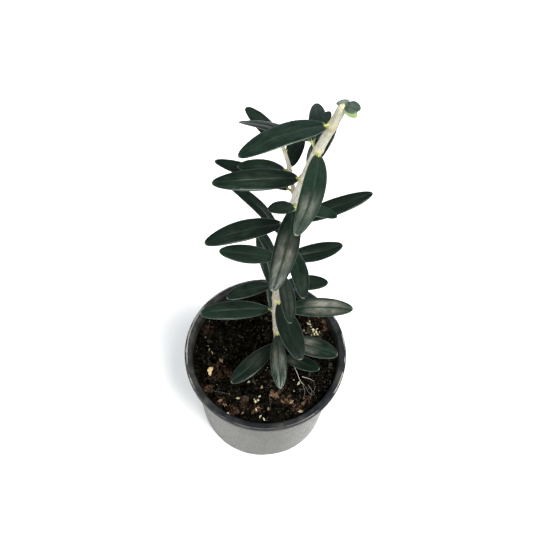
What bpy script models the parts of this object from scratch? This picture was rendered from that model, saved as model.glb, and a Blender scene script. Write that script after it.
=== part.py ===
"""A young olive tree in its round nursery pot.

The pot is turned and stands on its flat underside. Compost fills it to just below the rim, and one slim
stem grows from the compost, with a side shoot near its top. Stiff leaves stand on the stem in opposite
pairs, each pair turned about a quarter from the one below. A leaf that grows straight from a limb is a
piece of its own. The growing tips, where several small leaves share one short twig, are fused masses.
"""

import math

import bmesh
import bpy
from mathutils import Matrix, Vector

MM = 0.001
CLEARANCE = 0.3 * MM  # left between neighbouring pieces

# Pot
POT_HEIGHT = 92.0 * MM
RIM_RADIUS = 52.5 * MM
BEAD_RADIUS = 2.5 * MM  # the rolled edge's own section
FOOT_RADIUS = 43.2 * MM
FOOT_ROUND = 1.2 * MM
WALL = 1.4 * MM
FLOOR = 1.6 * MM
POT_STEPS = 48
SLOT_COUNT = 6
SLOT_WIDTH = 24.0 * MM
SLOT_HEIGHT = 2.8 * MM
SLOT_INSET = 5.0 * MM  # how far a slot reaches in under the floor
FIRST_SLOT = math.radians(-79.0)

# Compost
COMPOST_TOP = 83.0 * MM
COMPOST_RINGS = 5
COMPOST_SWELL = 0.9 * MM
SWELL_ACROSS = 7.3 * MM  # the swells' lengths along X, along Y and aslant
SWELL_ALONG = 8.9 * MM
SWELL_ASLANT = 4.7 * MM
LEVEL_RADIUS = 10.0 * MM  # the compost is level this far round the stem
LEVEL_EDGE = 6.0 * MM  # its swells die away over this width at the wall

# Stem: knots of its centreline as (x, y, height above the compost) in millimetres
STEM_KNOTS = [
    (9.5, -2.5, 0.0),
    (7.2, -0.8, 35.0),
    (5.1, 0.9, 71.0),
    (4.4, 2.6, 104.0),
    (5.6, 4.8, 147.0),
    (9.3, 6.8, 188.0),
    (16.1, 8.8, 226.0),
    (23.4, 10.2, 254.5),
    (26.5, 10.8, 267.5),
]
STEM_FOOT_RADIUS = 2.6 * MM
STEM_TIP_RADIUS = 2.05 * MM
FLARE = 0.9 * MM
FLARE_HEIGHT = 4.0 * MM
JOINT_SWELL = 0.3 * MM
JOINT_REACH = 2.2 * MM  # a joint's swelling fades over this length
PATH_STEPS = 12  # points of a centreline between two knots
LONGEST_STEP = 12.0 * MM  # of a limb's rings, and the shortest
SHORTEST_STEP = 0.8 * MM
TIP_SPAN = 1.5 * MM  # a limb's end axis is taken this far below its tip

# Side shoot: knots of its centreline, in the same frame
SHOOT_KNOTS = [
    (10.3, 10.65, 190.4),
    (8.7, 12.6, 196.7),
    (7.1, 14.4, 203.8),
    (5.8, 16.2, 210.7),
    (3.2, 18.6, 219.8),
]
SHOOT_FOOT_RADIUS = 1.1 * MM
SHOOT_TIP_RADIUS = 0.95 * MM

# Leaves: the joints they stand at, by height above the compost in millimetres. Each leaf is its side of
# the stem, its heading and rise in degrees, its reach and width in millimetres, and its sweep. A heading
# of 0 is along +X and turns anticlockwise from above. The reach runs from the limb's centreline to the
# leaf's tip, and the sweep bends the leaf sideways to its right, as a share of the reach.
STEM_LEAVES = [
    (11.0, [("right", -27, 22, 31, 9.0, 0.03)]),
    (32.0, [("left", -131.5, 5, 41.4, 11.5, -0.02), ("right", -17, 12.5, 39.4, 12.6, -0.01)]),
    (48.5, [("front", -84.5, -4.5, 37.6, 10.0, 0.01), ("back", 97, 21, 36, 11.5, 0.0)]),
    (75.0, [("left", -167.5, 13, 46, 12.0, 0.0), ("right", -4.2, 17, 46, 11.5, 0.0)]),
    (89.0, [("front", -69, 7, 42, 13.0, 0.0), ("back", 110, 26, 40, 9.0, -0.01)]),
    (106.5, [("left", -151, 19, 33, 9.0, 0.02), ("right", -8.5, 26, 31, 9.5, 0.01)]),
    (124.0, [("front", -79, 13, 37, 8.5, -0.03), ("back", 126, 24, 28, 7.0, 0.03)]),
    (137.5, [("left", -169.5, 24, 36, 10.7, -0.03), ("right", 3, 24, 35, 10.0, 0.055)]),
    (154.5, [("front", -73, 10, 37.5, 9.6, -0.05), ("back", 142, 21, 42, 7.4, 0.05)]),
    (172.5, [("left", -155, 11, 45.5, 11.7, 0.01), ("right", 17, 16, 45, 9.8, 0.03)]),
    (190.0, [("front", -100, 2, 49, 12.0, -0.03)]),
    (213.0, [("left", -165.5, 12, 45, 11.6, -0.02), ("back", 56, 36, 29, 8.6, -0.03)]),
    (236.0, [("front", -101, 4, 47, 10.8, -0.045), ("back", 92, -13, 31, 8.6, 0.0)]),
    (254.5, [("left", -153, 3, 44.8, 12.8, 0.035)]),
]
SHOOT_LEAVES = [
    (193.5, [("left", 166.6, 14, 41.6, 8.2, 0.0)]),
    (207.0, [("left", -172, 16, 26, 8.4, 0.01), ("back", 78, -4, 25.5, 8.6, -0.02)]),
]

# Growing tips: short twigs with small leaves fused on. A leaf is the share of the twig that it stands at,
# its heading, rise, reach, width and sweep as above, and the degrees that it is rolled by.
CROWN_TIP_TWIG = (0.9, 2.0, 1.7)  # length, foot radius and tip radius in millimetres
CROWN_TIP_LEAVES = [
    (0.5, 108, 25, 2.6, 6.0, 0.0, 0),
    (0.6, -19, 10, 7.6, 5.8, 0.0, 6),
    (0.5, -42, -6, 7.6, 4.8, 0.0, 10),
]
SHOOT_TIP_TWIG = (2.5, 0.95, 0.7)
SHOOT_TIP_LEAVES = [
    (0.4, 131, 1, 28.5, 8.0, 0.0, 0),
    (0.62, 170, 55, 5.0, 1.8, 0.0, 0),
    (0.75, 20, 55, 5.0, 1.8, 0.0, 0),
]
TUFT_TWIG = (3.0, 0.9, 0.75)
BACK_TUFT_ROOT = (16.2, 11.6, 236.1)  # in the same frame as the stem's knots
BACK_TUFT_AXIS = (135, 45)  # heading and rise
BACK_TUFT_LEAVES = [
    (0.45, 161, -6, 36.0, 9.0, 0.0, 30),
    (0.6, 66, -3, 19.3, 6.0, 0.0, 0),
    (0.7, 170, 60, 5.0, 1.8, 0.0, 0),
    (0.8, 20, 60, 5.0, 1.8, 0.0, 0),
]
FRONT_TUFT_ROOT = (10.2, 4.15, 194.0)
FRONT_TUFT_AXIS = (-90, 35)
FRONT_TUFT_LEAVES = [
    (0.6, -158, 19, 15.0, 7.4, 0.0, 0),
    (0.7, -22, 17, 22.4, 6.8, 0.0, 0),
]

# Leaf shape
LEAF_ARCH = 0.06  # how far a leaf bows up from the line between its ends, as a share of its reach
LEAF_FOLD = 0.16  # how much its halves rise from the midrib, as a share of the distance from it
ROLL_WITH_SWEEP = 180.0  # a leaf that bends sideways also rolls, by this many degrees for a sweep of 1
LEAF_SIDES = 8
PETIOLE_SHARE = 0.05
PETIOLE_RADIUS = 0.65 * MM
LEAF_THICKNESS = 0.8 * MM
LEAF_TIP_WIDTH = 0.5 * MM
LOW_SKEW = 1.25  # the lowest leaves' skew: above 1, a leaf is widest past its middle
SKEW_FALL = 1.5  # how much less skew a leaf has for each metre up
TIP_SKEW = 0.95  # of the small leaves on the growing tips
BLADE_BLUNTNESS = 0.48  # 1 gives a pointed oval, and 0 a strip
LEAF_TIP_THINNING = 0.4  # how much thinner a leaf is at its tip, as a share of its thickness
BLADE_STATIONS = 9

COLLECTION = "olive_tree"
SHARP_ANGLE = math.radians(50.0)


def clear_scene():
    for obj in list(bpy.data.objects):
        bpy.data.objects.remove(obj, do_unlink=True)


def new_collection(name):
    collection = bpy.data.collections.new(name)
    bpy.context.scene.collection.children.link(collection)
    return collection


def material(name, colour, roughness):
    made = bpy.data.materials.new(name)
    made.use_nodes = True
    shader = made.node_tree.nodes["Principled BSDF"]
    shader.inputs["Base Color"].default_value = (*colour, 1.0)
    shader.inputs["Roughness"].default_value = roughness
    shader.inputs["Metallic"].default_value = 0.0
    return made


def add_mesh(name, bm, finish, collection):
    mesh = bpy.data.meshes.new(name)
    bm.to_mesh(mesh)
    bm.free()
    mesh.shade_smooth()
    mesh.set_sharp_from_angle(angle=SHARP_ANGLE)
    obj = bpy.data.objects.new(name, mesh)
    obj.data.materials.append(finish)
    collection.objects.link(obj)
    return obj


def place_of(knot):
    """A knot's place in metres, from its millimetres and its height above the compost."""
    x, y, height = knot
    return Vector((x * MM, y * MM, COMPOST_TOP + height * MM))


def smooth_path(knots, steps):
    """Points along a smooth curve through the knots: a Catmull-Rom spline, drawn on past its end knots."""
    knots = [place_of(knot) for knot in knots]
    knots = [2 * knots[0] - knots[1], *knots, 2 * knots[-1] - knots[-2]]
    points = []
    for before, start, end, after in zip(knots, knots[1:], knots[2:], knots[3:]):
        for step in range(steps):
            t = step / steps
            points.append(
                0.5
                * (
                    2 * start
                    + (end - before) * t
                    + (2 * before - 5 * start + 4 * end - after) * t**2
                    + (3 * start - before - 3 * end + after) * t**3
                )
            )
    points.append(knots[-2])
    return points


class Limb:
    """A tapering limb along a smooth centreline that climbs all the way, so a height names one place."""

    def __init__(self, knots, foot_radius, tip_radius, joints, flare=0.0):
        self.path = smooth_path(knots, PATH_STEPS)
        self.foot = self.path[0].z
        self.tip = self.path[-1].z
        self.foot_radius = foot_radius
        self.tip_radius = tip_radius
        self.flare = flare
        self.joints = [COMPOST_TOP + height * MM for height in joints]

    def at(self, z):
        for low, high in zip(self.path, self.path[1:]):
            if z <= high.z:
                break
        return low.lerp(high, (z - low.z) / (high.z - low.z))

    def axis(self, z):
        span = 1.0 * MM
        return (self.at(z + span) - self.at(z - span)).normalized()

    def radius(self, z):
        share = (z - self.foot) / (self.tip - self.foot)
        radius = self.foot_radius + (self.tip_radius - self.foot_radius) * share
        radius += self.flare * math.exp(-(z - self.foot) / FLARE_HEIGHT)
        for joint in self.joints:
            radius += JOINT_SWELL * math.exp(-(((z - joint) / JOINT_REACH) ** 2) * 2)
        return radius

    def heights(self):
        """The heights of its rings: close together round a joint and in the flare, wide apart between."""
        marks = [self.foot, self.tip]
        if self.flare:
            marks += [self.foot + share * FLARE_HEIGHT for share in (0.4, 1.0, 2.0)]
        for joint in self.joints:
            marks += [joint - JOINT_REACH, joint, joint + JOINT_REACH]
        marks = sorted(mark for mark in marks if self.foot <= mark <= self.tip)
        kept = marks[:1]
        for mark in marks[1:]:
            gap = mark - kept[-1]
            if gap < SHORTEST_STEP and mark != self.tip:
                continue
            if gap > LONGEST_STEP:
                kept.append(kept[-1] + gap / 2)
            kept.append(mark)
        return kept


def add_limb(name, limb, finish, collection, lift=0.0):
    """The limb as a bevelled curve with filled caps. Its foot is lifted by the clearance and cut level."""
    curve = bpy.data.curves.new(name, "CURVE")
    curve.dimensions = "3D"
    curve.bevel_depth = limb.foot_radius
    curve.bevel_resolution = 3
    curve.use_fill_caps = True
    heights = limb.heights()
    points = [limb.at(z) for z in heights]
    points[0] = points[0] + Vector((0, 0, lift))
    if lift:
        points[1] = Vector((points[0].x, points[0].y, points[1].z))
    spline = curve.splines.new("POLY")
    spline.points.add(len(points) - 1)
    for place, point, z in zip(spline.points, points, heights):
        place.co = (*point, 1.0)
        place.radius = limb.radius(z) / limb.foot_radius
    spline.use_smooth = True
    obj = bpy.data.objects.new(name, curve)
    obj.data.materials.append(finish)
    collection.objects.link(obj)
    return obj


def ring_body(rings):
    """A closed body through rings of points: a disc laid on the first ring is extruded from ring to ring."""
    bm = bmesh.new()
    bmesh.ops.create_circle(bm, cap_ends=True, segments=len(rings[0]), radius=1.0)
    bm.faces.ensure_lookup_table()
    cap = bm.faces[0]
    for vert, point in zip(cap.verts, rings[0]):
        vert.co = point
    for number, ring in enumerate(rings[1:]):
        made = bmesh.ops.extrude_face_region(bm, geom=[cap])["geom"]
        if number:
            bmesh.ops.delete(bm, geom=[cap], context="FACES_ONLY")
        cap = next(item for item in made if isinstance(item, bmesh.types.BMFace))
        for vert, point in zip(cap.verts, ring):
            vert.co = point
    bmesh.ops.recalc_face_normals(bm, faces=bm.faces)
    return bm


def direction(heading, rise):
    heading = math.radians(heading)
    rise = math.radians(rise)
    return Vector(
        (
            math.cos(rise) * math.cos(heading),
            math.cos(rise) * math.sin(heading),
            math.sin(rise),
        )
    )


def blade_skew(height):
    """The skew of a leaf's outline at this height: high leaves are widest nearer the stem than low ones."""
    return LOW_SKEW - SKEW_FALL * height


def blade_half_width(share, skew):
    """A leaf's half width at this share of its blade, from 0 to 1: narrow oval, blunt at both ends."""
    return math.sin(math.pi * share**skew) ** BLADE_BLUNTNESS


def leaf_rings(root, heading, rise, reach, width, sweep, start, skew, roll=0.0):
    """Rings along a leaf: a round petiole that opens into a thin folded blade. start is where it begins."""
    along = direction(heading, rise)
    side = along.cross(Vector((0, 0, 1))).normalized()
    side = Matrix.Rotation(math.radians(roll + ROLL_WITH_SWEEP * sweep), 3, along) @ side
    above = side.cross(along)
    petiole_end = start + PETIOLE_SHARE
    petiole = min(PETIOLE_RADIUS, width / 4)
    shares = [(start, 0.0), (petiole_end, 0.0)]
    for station in range(1, BLADE_STATIONS + 1):
        share = station / BLADE_STATIONS
        share = 0.5 - 0.5 * math.cos(math.pi * share)
        shares.append((petiole_end + (1 - petiole_end) * share, share))
    rings = []
    for share, blade in shares:
        bend = above * LEAF_ARCH + side * sweep
        centre = root + along * (reach * share) + bend * (4 * reach * share * (1 - share))
        slope = (along + bend * (4 * (1 - 2 * share))).normalized()
        normal = side.cross(slope).normalized()
        across_slope = slope.cross(normal)
        half_width = max(
            petiole * (1 - blade) + LEAF_TIP_WIDTH / 2 * blade,
            width / 2 * blade_half_width(blade, skew),
        )
        half_thickness = petiole + (LEAF_THICKNESS / 2 - petiole) * min(1.0, blade * 4)
        half_thickness *= 1 - LEAF_TIP_THINNING * blade
        ring = []
        for index in range(LEAF_SIDES):
            angle = 2 * math.pi * index / LEAF_SIDES
            across = half_width * math.cos(angle)
            fold = LEAF_FOLD * abs(across) if blade > 0 else 0.0
            lift = half_thickness * math.sin(angle) + fold
            ring.append(centre + across_slope * across + normal * lift)
        rings.append(ring)
    return rings


def leaf_start(limb, z, heading, rise, reach, sweep):
    """The share of the reach at which a leaf begins, so that its petiole stands clear of the limb."""
    along = direction(heading, rise)
    side = along.cross(Vector((0, 0, 1))).normalized()
    slope = along + (side.cross(along) * LEAF_ARCH + side * sweep) * 4
    lean = abs(slope.normalized().dot(limb.axis(z)))
    away = math.sqrt(1 - lean**2)
    distance = (limb.radius(z) + CLEARANCE + PETIOLE_RADIUS * lean) / away
    return distance / (reach * slope.length)


def add_leaves(limb, joints, label, finish, collection):
    """A leaf for each entry of each joint, named for its limb, joint and side."""
    for number, (height, leaves) in enumerate(joints, start=1):
        z = COMPOST_TOP + height * MM
        for side, heading, rise, reach, width, sweep in leaves:
            reach = reach * MM
            start = leaf_start(limb, z, heading, rise, reach, sweep)
            skew = blade_skew(height * MM)
            rings = leaf_rings(limb.at(z), heading, rise, reach, width * MM, sweep, start, skew)
            name = f"{label}_{number:02d}_{side}"
            add_mesh(name, ring_body(rings), finish, collection)


def fuse(name, bodies, finish, collection):
    """One closed body from several that overlap: a Boolean union on their collection, then applied."""
    loose = new_collection(name + "_pieces")
    pieces = [add_mesh(f"{name}_piece_{i}", bm, finish, loose) for i, bm in enumerate(bodies)]
    trunk = pieces[0]
    loose.objects.unlink(trunk)
    collection.objects.link(trunk)
    union = trunk.modifiers.new("join", "BOOLEAN")
    union.operation = "UNION"
    union.operand_type = "COLLECTION"
    union.collection = loose
    union.solver = "EXACT"
    graph = bpy.context.evaluated_depsgraph_get()
    mesh = bpy.data.meshes.new_from_object(trunk.evaluated_get(graph))
    mesh.name = name
    for piece in pieces:
        bpy.data.objects.remove(piece, do_unlink=True)
    bpy.data.collections.remove(loose)
    bm = bmesh.new()
    bm.from_mesh(mesh)
    bmesh.ops.remove_doubles(bm, verts=bm.verts, dist=0.01 * MM)
    bpy.data.meshes.remove(mesh)
    return add_mesh(name, bm, finish, collection)


def twig_rings(root, along, length, foot_radius, tip_radius):
    """Rings of a short straight twig with a rounded bud at its tip."""
    side = along.orthogonal().normalized()
    other = along.cross(side)
    shares = [(0.0, 1.0), (0.7, 1.0), (0.9, 0.8), (1.0, 0.35)]
    rings = []
    for share, size in shares:
        radius = (foot_radius + (tip_radius - foot_radius) * share) * size
        rings.append(
            [
                root
                + along * (length * share)
                + (side * math.cos(angle) + other * math.sin(angle)) * radius
                for angle in (2 * math.pi * i / LEAF_SIDES for i in range(LEAF_SIDES))
            ]
        )
    return rings


def add_mass(name, root, along, twig, leaves, finish, collection):
    """A growing tip: a short twig, with leaves whose roots are sunk in it, fused into one body."""
    length, foot_radius, tip_radius = (size * MM for size in twig)
    bodies = [ring_body(twig_rings(root, along, length, foot_radius, tip_radius))]
    for share, heading, rise, reach, width, sweep, roll in leaves:
        place = root + along * (length * share)
        rings = leaf_rings(
            place, heading, rise, reach * MM, width * MM, sweep, 0.0, TIP_SKEW, roll
        )
        bodies.append(ring_body(rings))
    return fuse(name, bodies, finish, collection)


def add_end_mass(name, limb, twig, leaves, finish, collection):
    """A growing tip that carries a limb on past its end, the clearance away from it."""
    along = limb.axis(limb.tip - TIP_SPAN)
    add_mass(name, limb.path[-1] + along * CLEARANCE, along, twig, leaves, finish, collection)


def arc(centre_x, centre_z, radius, first, last, steps):
    """Points of an arc in the profile's plane, with its angles in degrees."""
    angles = [math.radians(first + (last - first) * step / steps) for step in range(steps + 1)]
    return [(centre_x + radius * math.cos(a), centre_z + radius * math.sin(a)) for a in angles]


def add_turned(name, profile, finish, collection):
    """A body turned about the Z axis from a profile that runs up inside and down outside."""
    bm = bmesh.new()
    verts = [bm.verts.new((x, 0.0, z)) for x, z in profile]
    for start, end in zip(verts, verts[1:]):
        bm.edges.new((start, end))
    obj = add_mesh(name, bm, finish, collection)
    screw = obj.modifiers.new("turn", "SCREW")
    screw.axis = "Z"
    screw.steps = POT_STEPS
    screw.render_steps = POT_STEPS
    screw.use_merge_vertices = True
    screw.merge_threshold = 0.01 * MM
    screw.use_smooth_shade = True
    return obj


def outer_wall(z):
    """The outside radius of the pot's wall at a height: a straight taper from the foot to the bead."""
    top_radius = RIM_RADIUS - BEAD_RADIUS * 1.4
    return FOOT_RADIUS + (top_radius - FOOT_RADIUS) * z / (POT_HEIGHT - BEAD_RADIUS)


def pot_profile():
    bead_x = RIM_RADIUS - BEAD_RADIUS
    bead_z = POT_HEIGHT - BEAD_RADIUS
    under_bead = bead_z - BEAD_RADIUS
    foot = arc(outer_wall(0) - FOOT_ROUND, FOOT_ROUND, FOOT_ROUND, 0, -90, 3)
    inner = [(0.0, FLOOR), (outer_wall(FLOOR) - WALL, FLOOR)]
    inner.append((outer_wall(under_bead) - WALL, under_bead))
    bead = arc(bead_x, bead_z, BEAD_RADIUS, 170, -75, 9)
    return [*inner, *bead, (outer_wall(under_bead), under_bead), *foot, (0.0, 0.0)]


def add_pot(finish, collection, cutters):
    pot = add_turned("pot", pot_profile(), finish, collection)
    for number in range(SLOT_COUNT):
        bm = bmesh.new()
        bmesh.ops.create_cone(
            bm, cap_ends=True, segments=20, radius1=SLOT_WIDTH / 2, radius2=SLOT_WIDTH / 2,
            depth=2 * SLOT_INSET,
        )
        bmesh.ops.scale(bm, verts=bm.verts, vec=(1.0, 2 * SLOT_HEIGHT / SLOT_WIDTH, 1.0))
        cutter = add_mesh(f"slot_cutter_{number + 1}", bm, finish, cutters)
        turn = FIRST_SLOT + 2 * math.pi * number / SLOT_COUNT
        cutter.rotation_euler = (math.pi / 2, 0.0, turn + math.pi / 2)
        cutter.location = (FOOT_RADIUS * math.cos(turn), FOOT_RADIUS * math.sin(turn), 0.0)
        cutter.hide_render = True
        cutter.display_type = "WIRE"
    slots = pot.modifiers.new("drain slots", "BOOLEAN")
    slots.operation = "DIFFERENCE"
    slots.operand_type = "COLLECTION"
    slots.collection = cutters
    slots.solver = "EXACT"
    return pot


def compost_height(x, y, wall_radius):
    """The compost's surface: low swells that die away at the wall and round the stem."""
    swell = math.sin(x / SWELL_ACROSS + 0.6) * math.sin(y / SWELL_ALONG + 1.1)
    swell += 0.6 * math.sin((x + y) / SWELL_ASLANT)
    foot_x, foot_y, _ = STEM_KNOTS[0]
    from_stem = math.hypot(x - foot_x * MM, y - foot_y * MM)
    near_stem = min(1.0, max(0.0, from_stem / LEVEL_RADIUS - 1.0))
    near_wall = min(1.0, (wall_radius - math.hypot(x, y)) / LEVEL_EDGE)
    return COMPOST_TOP + COMPOST_SWELL * swell * near_stem * near_wall


def add_compost(finish, collection):
    """The compost: a tapered plug that follows the wall inside, with an uneven top."""
    low_z = FLOOR + CLEARANCE
    low_radius = outer_wall(low_z) - WALL - CLEARANCE
    top_radius = outer_wall(COMPOST_TOP) - WALL - CLEARANCE
    bm = bmesh.new()
    bmesh.ops.create_cone(
        bm, cap_ends=True, segments=POT_STEPS, radius1=low_radius, radius2=top_radius,
        depth=COMPOST_TOP - low_z,
    )
    bmesh.ops.translate(bm, verts=bm.verts, vec=(0, 0, (COMPOST_TOP + low_z) / 2))
    top = max(bm.faces, key=lambda face: face.calc_center_median().z)
    ring_step = top_radius / (COMPOST_RINGS + 1)
    for _ in range(COMPOST_RINGS):
        bmesh.ops.inset_region(bm, faces=[top], thickness=ring_step, use_even_offset=True)
    for vert in bm.verts:
        if vert.co.z > COMPOST_TOP - 0.5 * MM:
            vert.co.z = compost_height(vert.co.x, vert.co.y, top_radius)
    return add_mesh("compost", bm, finish, collection)


def main():
    clear_scene()
    tree = new_collection(COLLECTION)
    cutters = new_collection("cutters")

    plastic = material("pot_plastic", (0.035, 0.037, 0.043), 0.38)
    peat = material("peat", (0.035, 0.022, 0.015), 0.95)
    bark = material("stem_bark", (0.62, 0.56, 0.44), 0.7)
    leaf = material("leaf_green", (0.035, 0.062, 0.040), 0.38)
    young = material("young_leaf_green", (0.20, 0.26, 0.12), 0.5)

    add_pot(plastic, tree, cutters)
    add_compost(peat, tree)

    stem = Limb(
        STEM_KNOTS,
        STEM_FOOT_RADIUS,
        STEM_TIP_RADIUS,
        [height for height, _ in STEM_LEAVES],
        flare=FLARE,
    )
    add_limb("stem", stem, bark, tree, lift=CLEARANCE)
    add_leaves(stem, STEM_LEAVES, "leaf", leaf, tree)

    shoot = Limb(
        SHOOT_KNOTS, SHOOT_FOOT_RADIUS, SHOOT_TIP_RADIUS, [height for height, _ in SHOOT_LEAVES]
    )
    add_limb("side_shoot", shoot, bark, tree)
    add_leaves(shoot, SHOOT_LEAVES, "side_leaf", leaf, tree)

    add_end_mass("crown_tip", stem, CROWN_TIP_TWIG, CROWN_TIP_LEAVES, young, tree)
    add_end_mass("side_shoot_tip", shoot, SHOOT_TIP_TWIG, SHOOT_TIP_LEAVES, leaf, tree)
    add_mass(
        "back_tuft",
        place_of(BACK_TUFT_ROOT),
        direction(*BACK_TUFT_AXIS),
        TUFT_TWIG,
        BACK_TUFT_LEAVES,
        leaf,
        tree,
    )
    add_mass(
        "front_tuft",
        place_of(FRONT_TUFT_ROOT),
        direction(*FRONT_TUFT_AXIS),
        TUFT_TWIG,
        FRONT_TUFT_LEAVES,
        leaf,
        tree,
    )


main()
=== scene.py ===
# %% [markdown]
# # A young olive in its nursery pot
#
# The construction model comes in first: one plain solid each for the pot, the compost, the stem and every
# leaf, at their real size and place. This file gives each of them its real surface. A solid could simply
# get a better material, but a leaf is thin and curved, and compost is thousands of crumbs, so every solid
# here is replaced by a finer mesh that stands in the same place.

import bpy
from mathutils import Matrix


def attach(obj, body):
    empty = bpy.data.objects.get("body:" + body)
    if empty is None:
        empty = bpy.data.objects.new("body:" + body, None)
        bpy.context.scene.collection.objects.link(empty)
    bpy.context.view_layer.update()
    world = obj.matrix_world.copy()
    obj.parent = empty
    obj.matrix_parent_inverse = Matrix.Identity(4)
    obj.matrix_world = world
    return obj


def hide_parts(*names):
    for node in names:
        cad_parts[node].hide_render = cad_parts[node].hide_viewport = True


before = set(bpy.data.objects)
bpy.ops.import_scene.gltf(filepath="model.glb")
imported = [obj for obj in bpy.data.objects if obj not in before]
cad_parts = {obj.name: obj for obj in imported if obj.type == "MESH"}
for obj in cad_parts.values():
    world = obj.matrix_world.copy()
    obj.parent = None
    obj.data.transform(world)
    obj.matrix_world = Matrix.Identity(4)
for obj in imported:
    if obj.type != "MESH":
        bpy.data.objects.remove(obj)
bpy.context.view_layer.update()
print("solids:", len(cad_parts))

# %% Modules and units
import math
import random

import bmesh
import bpy
import numpy as np
from mathutils import Matrix, Vector, noise

MM = 0.001
BODY = "root"

# %% [markdown]
# ## Camera
#
# The view comes before the object, so that every later step can be looked at. The camera stands high in
# front of the pot and looks steeply down. It could be aimed with a Track To constraint, but two turns of
# a matrix say the same and leave nothing live: a tilt about X, then a slight roll about the line of sight.

# %% Camera
CAMERA_PLACE = Vector((-2.19, -236.9, 697.5)) * MM
CAMERA_TILT = math.radians(26.23)  # up from straight down
CAMERA_ROLL = math.radians(2.936)
FOCAL_LENGTH = 67.54  # in millimetres, like the sensor's width
SENSOR_WIDTH = 36.0
CLIP_START = 10.0 * MM

camera_data = bpy.data.cameras.new("camera")
camera_data.lens = FOCAL_LENGTH
camera_data.sensor_width = SENSOR_WIDTH
camera_data.clip_start = CLIP_START
camera = bpy.data.objects.new("camera", camera_data)
tilt = Matrix.Rotation(CAMERA_TILT, 4, "X")
roll = Matrix.Rotation(CAMERA_ROLL, 4, "Z")
camera.matrix_world = Matrix.Translation(CAMERA_PLACE) @ tilt @ roll
bpy.context.scene.collection.objects.link(camera)
bpy.context.scene.camera = camera
print("camera height", round(CAMERA_PLACE.z / MM), "mm")

# %% [markdown]
# ## Lamps
#
# One soft lamp hangs high in front and to the right, and a weaker, wider one on the left softens its
# shadow. Each is an area lamp shaped as a disc, because a point lamp would draw hard edges. A ring of
# lamps would be brighter all round, but then every leaf would shine, and the dark ones give the plant its
# depth.

# %% Lamps
LAMPS = [  # name, place, width and power
    ("overhead lamp", (0.42, -0.36, 1.24), 0.60, 33.0),
    ("fill lamp", (-0.80, -0.65, 0.80), 0.90, 15.0),
]
AIM_AT = Vector((0.0, 0.0, 0.12))
LAMP_COLOUR = (1.0, 0.985, 0.96)


def add_lamp(name, place, width, power):
    """A round soft lamp, turned to face the plant."""
    data = bpy.data.lights.new(name, "AREA")
    data.shape = "DISK"
    data.size = width
    data.energy = power
    data.color = LAMP_COLOUR
    lamp = bpy.data.objects.new(name, data)
    lamp.location = place
    lamp.rotation_euler = (AIM_AT - Vector(place)).to_track_quat("-Z", "Y").to_euler()
    bpy.context.scene.collection.objects.link(lamp)


for lamp in LAMPS:
    add_lamp(*lamp)
print("lamps:", len(LAMPS))

# %% [markdown]
# ## Room
#
# The room is pale at eye level and dim overhead, so edges catch a thin line of light while the tops of the
# leaves stay dark. An even background would be simpler, but it fills every shadow. Here the height of the
# line of sight fades the light from one strength to the other.

# %% Room
SKY_COLOUR = (0.80, 0.90, 1.0)
SKY_OVERHEAD = 0.26
SKY_LEVEL = 1.0
SKY_FADE_TOP = 0.75  # from here up, as the sine of the angle, the room has its overhead strength

sky = bpy.data.worlds.new("room")
sky.use_nodes = True
room = sky.node_tree.nodes
towards = room.new("ShaderNodeTexCoord").outputs["Generated"]
height = room.new("ShaderNodeSeparateXYZ")
fade = room.new("ShaderNodeMapRange")
fade.interpolation_type = "SMOOTHSTEP"
fade.inputs["From Max"].default_value = SKY_FADE_TOP
fade.inputs["To Min"].default_value = SKY_LEVEL
fade.inputs["To Max"].default_value = SKY_OVERHEAD
sky.node_tree.links.new(towards, height.inputs[0])
sky.node_tree.links.new(height.outputs["Z"], fade.inputs["Value"])
sky.node_tree.links.new(fade.outputs[0], room["Background"].inputs["Strength"])
room["Background"].inputs["Color"].default_value = (*SKY_COLOUR, 1.0)
bpy.context.scene.world = sky
bpy.context.scene.view_settings.view_transform = "Standard"
print("room", SKY_LEVEL, "at eye level and", SKY_OVERHEAD, "overhead")

# %% [markdown]
# ## Floor
#
# The pot stands on a plain white table. It does more than hold the shadow: most of the light on the pot's
# wall is this floor, mirrored in the plastic.

# %% Floor
FLOOR_WIDTH = 6.0
FLOOR_COLOUR = (0.93, 0.93, 0.93, 1.0)
FLOOR_ROUGHNESS = 0.8

floor_bm = bmesh.new()
bmesh.ops.create_grid(floor_bm, x_segments=1, y_segments=1, size=FLOOR_WIDTH / 2)
floor_mesh = bpy.data.meshes.new("floor")
floor_bm.to_mesh(floor_mesh)
floor_bm.free()
floor = bpy.data.objects.new("floor", floor_mesh)
floor_paint = bpy.data.materials.new("white table")
floor_paint.use_nodes = True
floor_shader = floor_paint.node_tree.nodes["Principled BSDF"]
floor_shader.inputs["Base Color"].default_value = FLOOR_COLOUR
floor_shader.inputs["Roughness"].default_value = FLOOR_ROUGHNESS
floor.data.materials.append(floor_paint)
bpy.context.scene.collection.objects.link(floor)
print("floor", FLOOR_WIDTH, "m wide")

# %% [markdown]
# ## Tools for materials
#
# A shader pattern is arithmetic on numbers that vary over the surface. Wiring Math nodes by hand hides
# that arithmetic, so a small class wraps a socket and lets Python's own operators add the nodes. `Finish`
# holds one material, and its `node` method adds any node: settings first, then sockets.

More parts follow.
